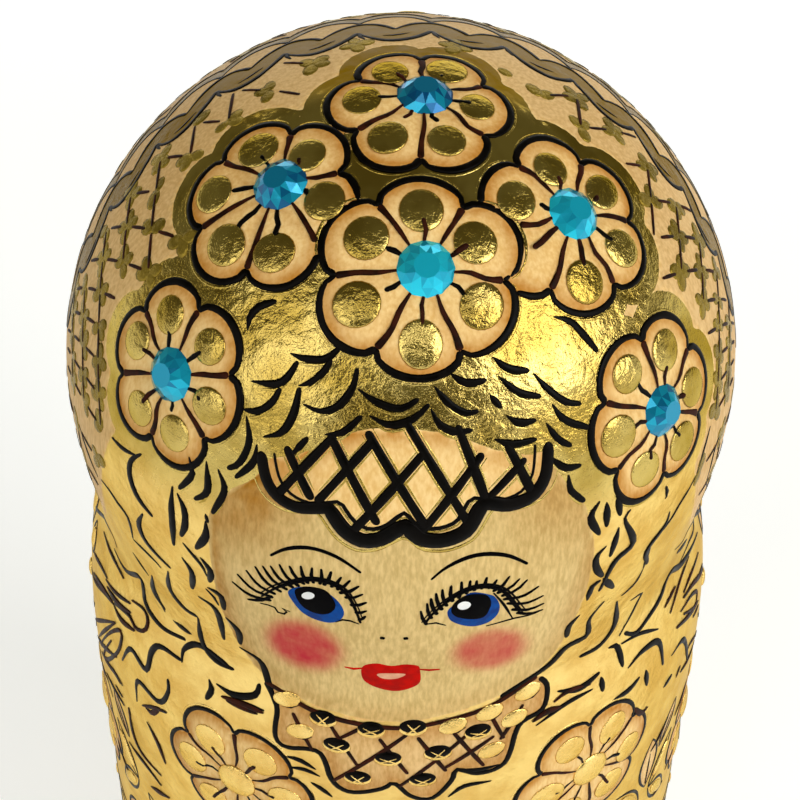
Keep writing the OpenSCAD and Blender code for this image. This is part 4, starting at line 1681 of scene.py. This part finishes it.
def stroke_mesh(name, items, level, sink):
    """Edges along each line, with its width, its normals and its roots on the points."""
    places, widths, edges, climbs = [], [], [], []
    start = 0
    for path, width, ends, closed, over, seed in items:
        total = lengths_along(path)[-1]
        half = width / 2
        draw = np.random.default_rng(seed)
        count = max(3, int(total / level.step))
        if closed:
            s = np.linspace(0, total, count, endpoint=False)
            span = np.full(count, half)
        else:
            tip = min(half, total / 4)
            inner = np.linspace(tip, total - tip, count)
            rounding = tip * np.array([0, 0.12, 0.45])
            s = np.concatenate([rounding, inner, total - rounding[::-1]])
            share = s / total
            taper = ends[0] + (1 - ends[0]) * smooth(share, 0, TAPER_SHARE)
            taper = taper * (ends[1] + (1 - ends[1]) * smooth(1 - share, 0, TAPER_SHARE))
            cap = np.clip(np.minimum(s, total - s) / tip, 0, 1)
            span = half * taper * np.sqrt(np.maximum(1 - (1 - cap) ** 2, 0.003))
        pressure = draw.uniform(*HAND_RANGE, HAND_POINTS)
        hand = np.interp(np.linspace(0, 1, len(s)), np.linspace(0, 1, HAND_POINTS), pressure)
        places.append(at_lengths(path, s))
        widths.append(span * (1 if closed else hand))
        chain = np.column_stack([np.arange(len(s) - 1), np.arange(1, len(s))]) + start
        if closed:
            chain = np.vstack([chain, [start + len(s) - 1, start]])
        edges.append(chain)
        if over is not None:
            climbs.append((over, slice(start, start + len(s))))
        start += len(s)
    foot, normal = skin.stick(np.vstack(places))
    rise = petal_fields(foot)[2] - sink
    for (middle, radius, height), part in climbs:
        climb = 1 - (np.linalg.norm(foot[part] - middle, axis=1) / radius) ** 2
        rise[part] += height * np.sqrt(np.maximum(climb, 0))
    home = level.home(foot + rise[:, None] * normal)
    mesh = bpy.data.meshes.new(name)
    mesh.from_pydata(home, np.vstack(edges), [])
    add_attribute(mesh, "root", "FLOAT_VECTOR", home)
    add_attribute(mesh, "skin_normal", "FLOAT_VECTOR", normal)
    add_attribute(mesh, "half_width", "FLOAT", np.concatenate(widths) * level.size * MM)
    return mesh


def drop_mesh(name, items, level):
    """A point for each drop, with its normal, its long way and its size."""
    place, normal = skin.stick(np.array([item[0] for item in items]))
    place = place + petal_fields(place)[2][:, None] * normal
    mesh = bpy.data.meshes.new(name)
    mesh.from_pydata(level.home(place), [], [])
    add_attribute(mesh, "skin_normal", "FLOAT_VECTOR", normal)
    add_attribute(mesh, "along", "FLOAT_VECTOR", unit(np.array([item[1] for item in items])))
    add_attribute(mesh, "size", "FLOAT_VECTOR", np.array([item[2] for item in items]) * level.size * MM)
    return mesh


def plain_object(name, verts, faces, look, smooth_angle=None):
    """A mesh object from points in metres, with its faces turned outward."""
    mesh = bpy.data.meshes.new(name)
    mesh.from_pydata(verts, [], faces)
    mesh.validate()
    mesh.materials.append(LOOKS[look])
    mesh.polygons.foreach_set("use_smooth", np.full(len(mesh.polygons), smooth_angle is not None))
    if smooth_angle is not None:
        mesh.set_sharp_from_angle(angle=smooth_angle)
    made = bpy.data.objects.new(name, mesh)
    bpy.context.scene.collection.objects.link(made)
    return made


# Rings of a patch of paint, and how deep it goes under the skin
PAD_SHARES = (1.0, 0.92, 0.6)
PAD_SINK = 0.08


def pad_object(name, items, level, look):
    """Closed thin patches of paint, domed a little, inside their outlines."""
    verts, faces = [], []
    for outline, height, lift in items:
        middle = outline.mean(0)
        start = len(verts)
        count = len(outline)
        for share in PAD_SHARES:
            foot, normal = skin.stick(middle + share * (outline - middle))
            up = lift + height * (1 - share**6)
            verts.extend(foot + up * normal)
        foot, normal = skin.stick(middle)
        verts.append(foot[0] + (lift + height) * normal[0])
        foot_edge, normal_edge = skin.stick(outline)
        under = len(verts)
        verts.extend(foot_edge - PAD_SINK * normal_edge)
        verts.append(foot[0] - PAD_SINK * normal[0])
        flip = np.cross(outline[1] - outline[0], middle - outline[0]) @ normal[0] < 0
        patch = []
        for ring in range(len(PAD_SHARES) - 1):
            for j in range(count):
                k = (j + 1) % count
                a, b = start + ring * count, start + (ring + 1) * count
                patch.append((a + j, a + k, b + k, b + j))
        top = start + (len(PAD_SHARES) - 1) * count
        for j in range(count):
            k = (j + 1) % count
            patch.append((top + j, top + k, start + len(PAD_SHARES) * count))
            patch.append((under + j, under + k, start + k, start + j))
            patch.append((under + k, under + j, under + count))
        faces.extend(tuple(reversed(face)) if flip else face for face in patch)
    return plain_object(name, level.home(np.array(verts)), faces, look, math.radians(50))


def turned_object(name, rows, painted, level):
    """A closed turned mesh. Rows run from the axis to the axis as radius and height, and the painted
    ones carry the skin."""
    sides = level.sides
    turn = np.linspace(0, 2 * math.pi, sides, endpoint=False) + math.pi / 2
    ring = np.column_stack([np.cos(turn), np.sin(turn)])
    body = rows[1:-1]
    height = np.broadcast_to(body[:, None, 1:], (len(body), sides, 1))
    flat = np.concatenate([body[:, None, :1] * ring[None], height], axis=2).reshape(-1, 3)
    wears = {key: np.zeros(len(flat)) for key in ("burn", "blush", "polish", "olive", "tan", "crumple")}
    wears["gild"] = np.full(len(flat), -9.0)
    wears["face"] = np.full(len(flat), -9.0)
    dressed = np.repeat(painted[1:-1], sides)
    foot, normal = skin.stick(flat[dressed])
    worn = paint(foot, normal)
    lift = worn.pop("relief")
    for key, values in worn.items():
        wears[key][dressed] = values
    flat[dressed] += lift[:, None] * normal
    verts = np.vstack([[0, 0, rows[0, 1]], flat, [0, 0, rows[-1, 1]]])
    j = np.arange(sides)
    k = (j + 1) % sides
    first = np.column_stack([np.zeros(sides, int), 1 + k, 1 + j])
    last_ring = 1 + (len(body) - 1) * sides
    last = np.column_stack([np.full(sides, len(verts) - 1), last_ring + j, last_ring + k])
    starts = 1 + sides * np.arange(len(body) - 1)
    quads = [np.column_stack([a + j, a + k, a + sides + k, a + sides + j]) for a in starts]
    faces = first.tolist() + np.vstack(quads).tolist() + last.tolist()
    made = plain_object(name, level.home(verts), faces, "skin", math.radians(40))
    made.data.materials.append(LOOKS["wood"])
    both = painted[:-1] & painted[1:]
    look = np.repeat(np.where(both, 0, 1), sides).astype(np.int32)
    made.data.polygons.foreach_set("material_index", look)
    for key, values in wears.items():
        add_attribute(made.data, key, "FLOAT", np.concatenate([values[:1], values, values[-1:]]))
    return made


def outside_rows(first, last, step):
    """Rows of the skin between two distances along the outline."""
    s = np.linspace(first, last, max(6, int((last - first) / step)))
    r, z, _ = skin.ring(s)
    return np.column_stack([r, z])


def turned_rows(half, level):
    """Rows of a half or of the solid doll, and which of them carry the skin."""
    axis_floor, axis_foot, axis_top = [[0, lower_inside[0, 1]]], [[0, 0]], [[0, TOP_Z]]
    if half == "whole":
        skin_rows = outside_rows(0, skin.length - 0.3, level.row_step)
        parts = [(axis_foot, False), (skin_rows, True), (axis_top, True)]
    elif half == "lower":
        skin_rows = outside_rows(0, skin.seam, level.row_step)
        parts = [(axis_foot, False), (skin_rows, True), (collar_rings, False), (lower_inside[::-1], False),
                 (axis_floor, False)]
    else:
        skin_rows = outside_rows(skin.seam, skin.length - 0.3, level.row_step)
        ceiling = [[0, upper_inside[-1, 1]]]
        parts = [(ceiling, False), (upper_inside[::-1], False), (skin_rows, True), (axis_top, True)]
    rows = np.vstack([part for part, _ in parts])
    return rows, np.concatenate([np.full(len(part), worn) for part, worn in parts])


STONE_TIERS = ((1.0, 0.30), (0.74, 0.66), (0.44, 1.0))
STONE_FACETS = 12
# How bright each stone is painted in its setting, and how much its facets differ: painted reflection
GLINT_SPREAD = 0.28
STONE_LIGHT = {
    "centre": 0.8, "top": 0.18, "upper_left": 0.22, "upper_right": 0.68, "left": 0.44, "right": 0.34,
}


def stone_object(node, level):
    """A round cut stone: a girdle, two tiers of facets and a table, in the place of its node."""
    place = read(nodes[node].data.vertices, "co")
    middle = (place.min(0) + place.max(0)) / 2
    head = level.home(HEAD)
    axis = unit(middle - head)
    right = unit(np.cross([0, 0, 1], axis))
    up = np.cross(axis, right)
    height = (place - head) @ axis
    low, high = height.min(), height.max()
    foot = head + axis * low
    radius = np.linalg.norm(np.cross(place - head, axis), axis=1).max()
    verts, faces = [], []
    for tier, (share, rise) in enumerate(((1.0, 0.0), *STONE_TIERS)):
        turn = (np.arange(STONE_FACETS) + 0.5 * max(tier - 1, 0)) * 2 * math.pi / STONE_FACETS
        verts.extend(foot + axis * (high - low) * rise + radius * share * (
            np.cos(turn)[:, None] * right + np.sin(turn)[:, None] * up))
    n = STONE_FACETS
    for j in range(n):
        k = (j + 1) % n
        faces.append((j, k, n + k, n + j))
        for a, b in ((n, 2 * n), (2 * n, 3 * n)):
            faces.append((a + j, a + k, b + j))
            faces.append((a + k, b + k, b + j))
    faces.append(tuple(3 * n + np.arange(n)))
    faces.append(tuple(np.arange(n)[::-1]))
    made = plain_object(node + "_cut", np.array(verts), faces, "stone")
    # Painted reflection: each facet's colour is made brighter or darker at random round the stone's own
    # brightness.
    draw = np.random.default_rng(len(node) * 7 + 3)
    light = STONE_LIGHT[node.split("_stone_")[1]]
    glint = np.clip(light + draw.uniform(-GLINT_SPREAD, GLINT_SPREAD, len(made.data.polygons)), 0, 1)
    glint[-2] = light
    made.data.attributes.new("glint", "FLOAT", "FACE").data.foreach_set("value", glint.astype(np.float32))
    return made


def dress(level):
    """Makes every piece of one doll, and hangs it on its CAD bodies."""
    have_stone = {n.split("_stone_")[1] for n in nodes if n.startswith(f"{level.name}_stone_")}
    hearts = [flower for flower in flowers if flower.stone not in have_stone]
    for half, node in level.halves.items():
        body = level.bodies[half]
        parts = ("lower", "upper") if half == "whole" else (half,)
        prefix = f"{level.name}_{half}"

        def keep(made, body=body):
            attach(made, body)
            return made

        rows, painted = turned_rows(half, level)
        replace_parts(keep(turned_object(prefix + "_gilded", rows, painted, level)), node)
        for kind, (look, flatness, sink) in LINES.items():
            items = [item for part in parts for item in strokes.get((part, kind), [])]
            if items:
                mesh = stroke_mesh(f"{prefix}_{kind}", items, level, sink)
                keep(grown(f"{prefix}_{kind}_lines", mesh, TREES["stroke"], Sides=level.stroke_sides,
                           Flatness=flatness, Material=LOOKS[look]))
        for kind, (look, fine) in DROP_LOOK.items():
            items = [item for part in parts for item in drops.get((part, kind), [])]
            for flower in hearts:
                middle = flower.heart
                own_kind = "soft" if middle[2] < SATIN_TOP else "leaf"
                if kind == own_kind and half_of(np.atleast_2d(middle)) in parts:
                    items.append((middle, flower.chart.right, FLOWER_HEART))
            if items:
                big = level.name == "outer"
                segments, rings = (10 * fine if big else 6 * fine), (5 * fine if big else 2 + fine)
                mesh = drop_mesh(f"{prefix}_{kind}", items, level)
                keep(grown(f"{prefix}_{look}_{kind}", mesh, TREES["drop"], Segments=segments, Rings=rings,
                           Material=LOOKS[look]))
        for kind in COATS:
            items = [item for part in parts for item in pads.get((part, kind), [])]
            if items:
                keep(pad_object(f"{prefix}_{kind}_paint", items, level, kind))
    for place in sorted(have_stone):
        node = f"{level.name}_stone_{place}"
        made = stone_object(node, level)
        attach(made, level.bodies.get("upper", "smallest"))
        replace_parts(made, node)


for level_name in LEVELS:
    dress(Level(level_name))


# Floor, light and camera
def floor_material():
    """White floor that glows where it is looked at, more so further out."""
    shade = Shade("floor_white")
    path = shade.put("ShaderNodeLightPath").node
    viewed = shade.math("MAXIMUM", path.outputs["Is Camera Ray"], path.outputs["Is Glossy Ray"])
    viewed = shade.math("MAXIMUM", viewed, path.outputs["Is Transmission Ray"])
    coords = shade.put("ShaderNodeTexCoord", {}, 3)
    away = shade.put("ShaderNodeVectorMath", {0: coords}, 1, operation="LENGTH")
    glow = shade.ramp(away, 0.1, 1.2, 0.44, 0.88)
    return shade.finish(
        Base_Color=(0.9, 0.9, 0.9, 1), Roughness=shade.ramp(shade.noise(3.0), 0.3, 0.7, 0.6, 0.7),
        Specular_IOR_Level=0.1, Emission_Color=(0.96, 0.98, 1, 1),
        Emission_Strength=shade.math("MULTIPLY", viewed, glow))


# Half of the floor's side, and how far it lies under the foot, in metres
FLOOR_HALF, FLOOR_DROP = 6.0, 0.0004
floor_corners = [(FLOOR_HALF * x, FLOOR_HALF * y, 0) for x, y in ((-1, -1), (1, -1), (1, 1), (-1, 1))]
floor_mesh = bpy.data.meshes.new("floor")
floor_mesh.from_pydata(floor_corners, [], [(0, 1, 2, 3)])
floor_mesh.materials.append(floor_material())
floor = bpy.data.objects.new("floor", floor_mesh)
bpy.context.scene.collection.objects.link(floor)
floor.location.z = -FLOOR_DROP


def softbox(name, turn, rise, reach, size, power):
    """A rectangular lamp aimed at the head from a turn and a rise, in degrees."""
    data = bpy.data.lights.new(name, "AREA")
    data.shape = "RECTANGLE"
    data.size, data.size_y = size
    data.energy = power
    lamp = bpy.data.objects.new(name, data)
    bpy.context.scene.collection.objects.link(lamp)
    t, e = math.radians(turn), math.radians(rise)
    way = np.array([math.cos(e) * math.sin(t), -math.cos(e) * math.cos(t), math.sin(e)])
    z = way
    x = unit(np.cross([0, 0, 1], z))
    y = np.cross(z, x)
    spot = HEAD * MM + reach * way
    lamp.matrix_world = Matrix([[x[i], y[i], z[i], spot[i]] for i in range(3)] + [[0, 0, 0, 1]])
    return lamp


# Lamps: turn, rise, reach, width and height, and power in watts
LAMPS = {
    "window_left": (-42, 28, 0.8, (0.44, 0.5), 1.6),
    "window_right": (56, 30, 0.8, (0.44, 0.5), 3.7),
    "strip_front": (6, 51, 0.8, (0.8, 0.15), 0.9),
    "fill_back": (180, 22, 1.0, (1.2, 0.5), 3.0),
}
for lamp_name, lamp_place in LAMPS.items():
    softbox(lamp_name, *lamp_place)

# The room's light by height, from the floor at 0 to overhead at 1
ROOM_PALE, ROOM_DIM, ROOM_DEEP = (1, 1, 1, 1), (0.2, 0.195, 0.13, 1), (0.15, 0.145, 0.09, 1)
ROOM_STOPS = ((0.0, ROOM_PALE), (0.53, ROOM_PALE), (0.58, ROOM_DIM), (0.8, ROOM_DEEP), (1.0, ROOM_DEEP))


def room_light():
    """A pale room that darkens overhead, as the gilding mirrors it."""
    world = bpy.data.worlds.new("room")
    world.use_nodes = True
    room = NodeWork(world.node_tree)
    view = room.put("ShaderNodeTexCoord", out="Generated")
    height = room.put("ShaderNodeSeparateXYZ", {0: view}, "Z")
    share = room.put("ShaderNodeMapRange", {0: height, 1: -1.0, 2: 1.0})
    colour = room.put("ShaderNodeValToRGB", {0: share})
    elements = colour.node.color_ramp.elements
    while len(elements) < len(ROOM_STOPS):
        elements.new(0.5)
    for element, (place, tint) in zip(elements, ROOM_STOPS):
        element.position = place
        element.color = tint
    background = room.tree.nodes["Background"]
    room.feed(background.inputs["Color"], colour)
    room.feed(background.inputs["Strength"], 1.0)
    bpy.context.scene.world = world


room_light()

camera_data = bpy.data.cameras.new("camera")
camera_data.sensor_width = 36.0
camera_data.lens = FOCAL / PIXELS * camera_data.sensor_width
camera_data.clip_start, camera_data.clip_end = 0.005, 50
camera = bpy.data.objects.new("camera", camera_data)
bpy.context.scene.collection.objects.link(camera)
columns = (EYE_RIGHT, EYE_UP, -EYE_AIM, EYE * MM)
camera.matrix_world = Matrix([[float(c[i]) for c in columns] for i in range(3)] + [[0, 0, 0, 1]])
bpy.context.scene.camera = camera
bpy.context.scene.view_settings.view_transform = "Standard"
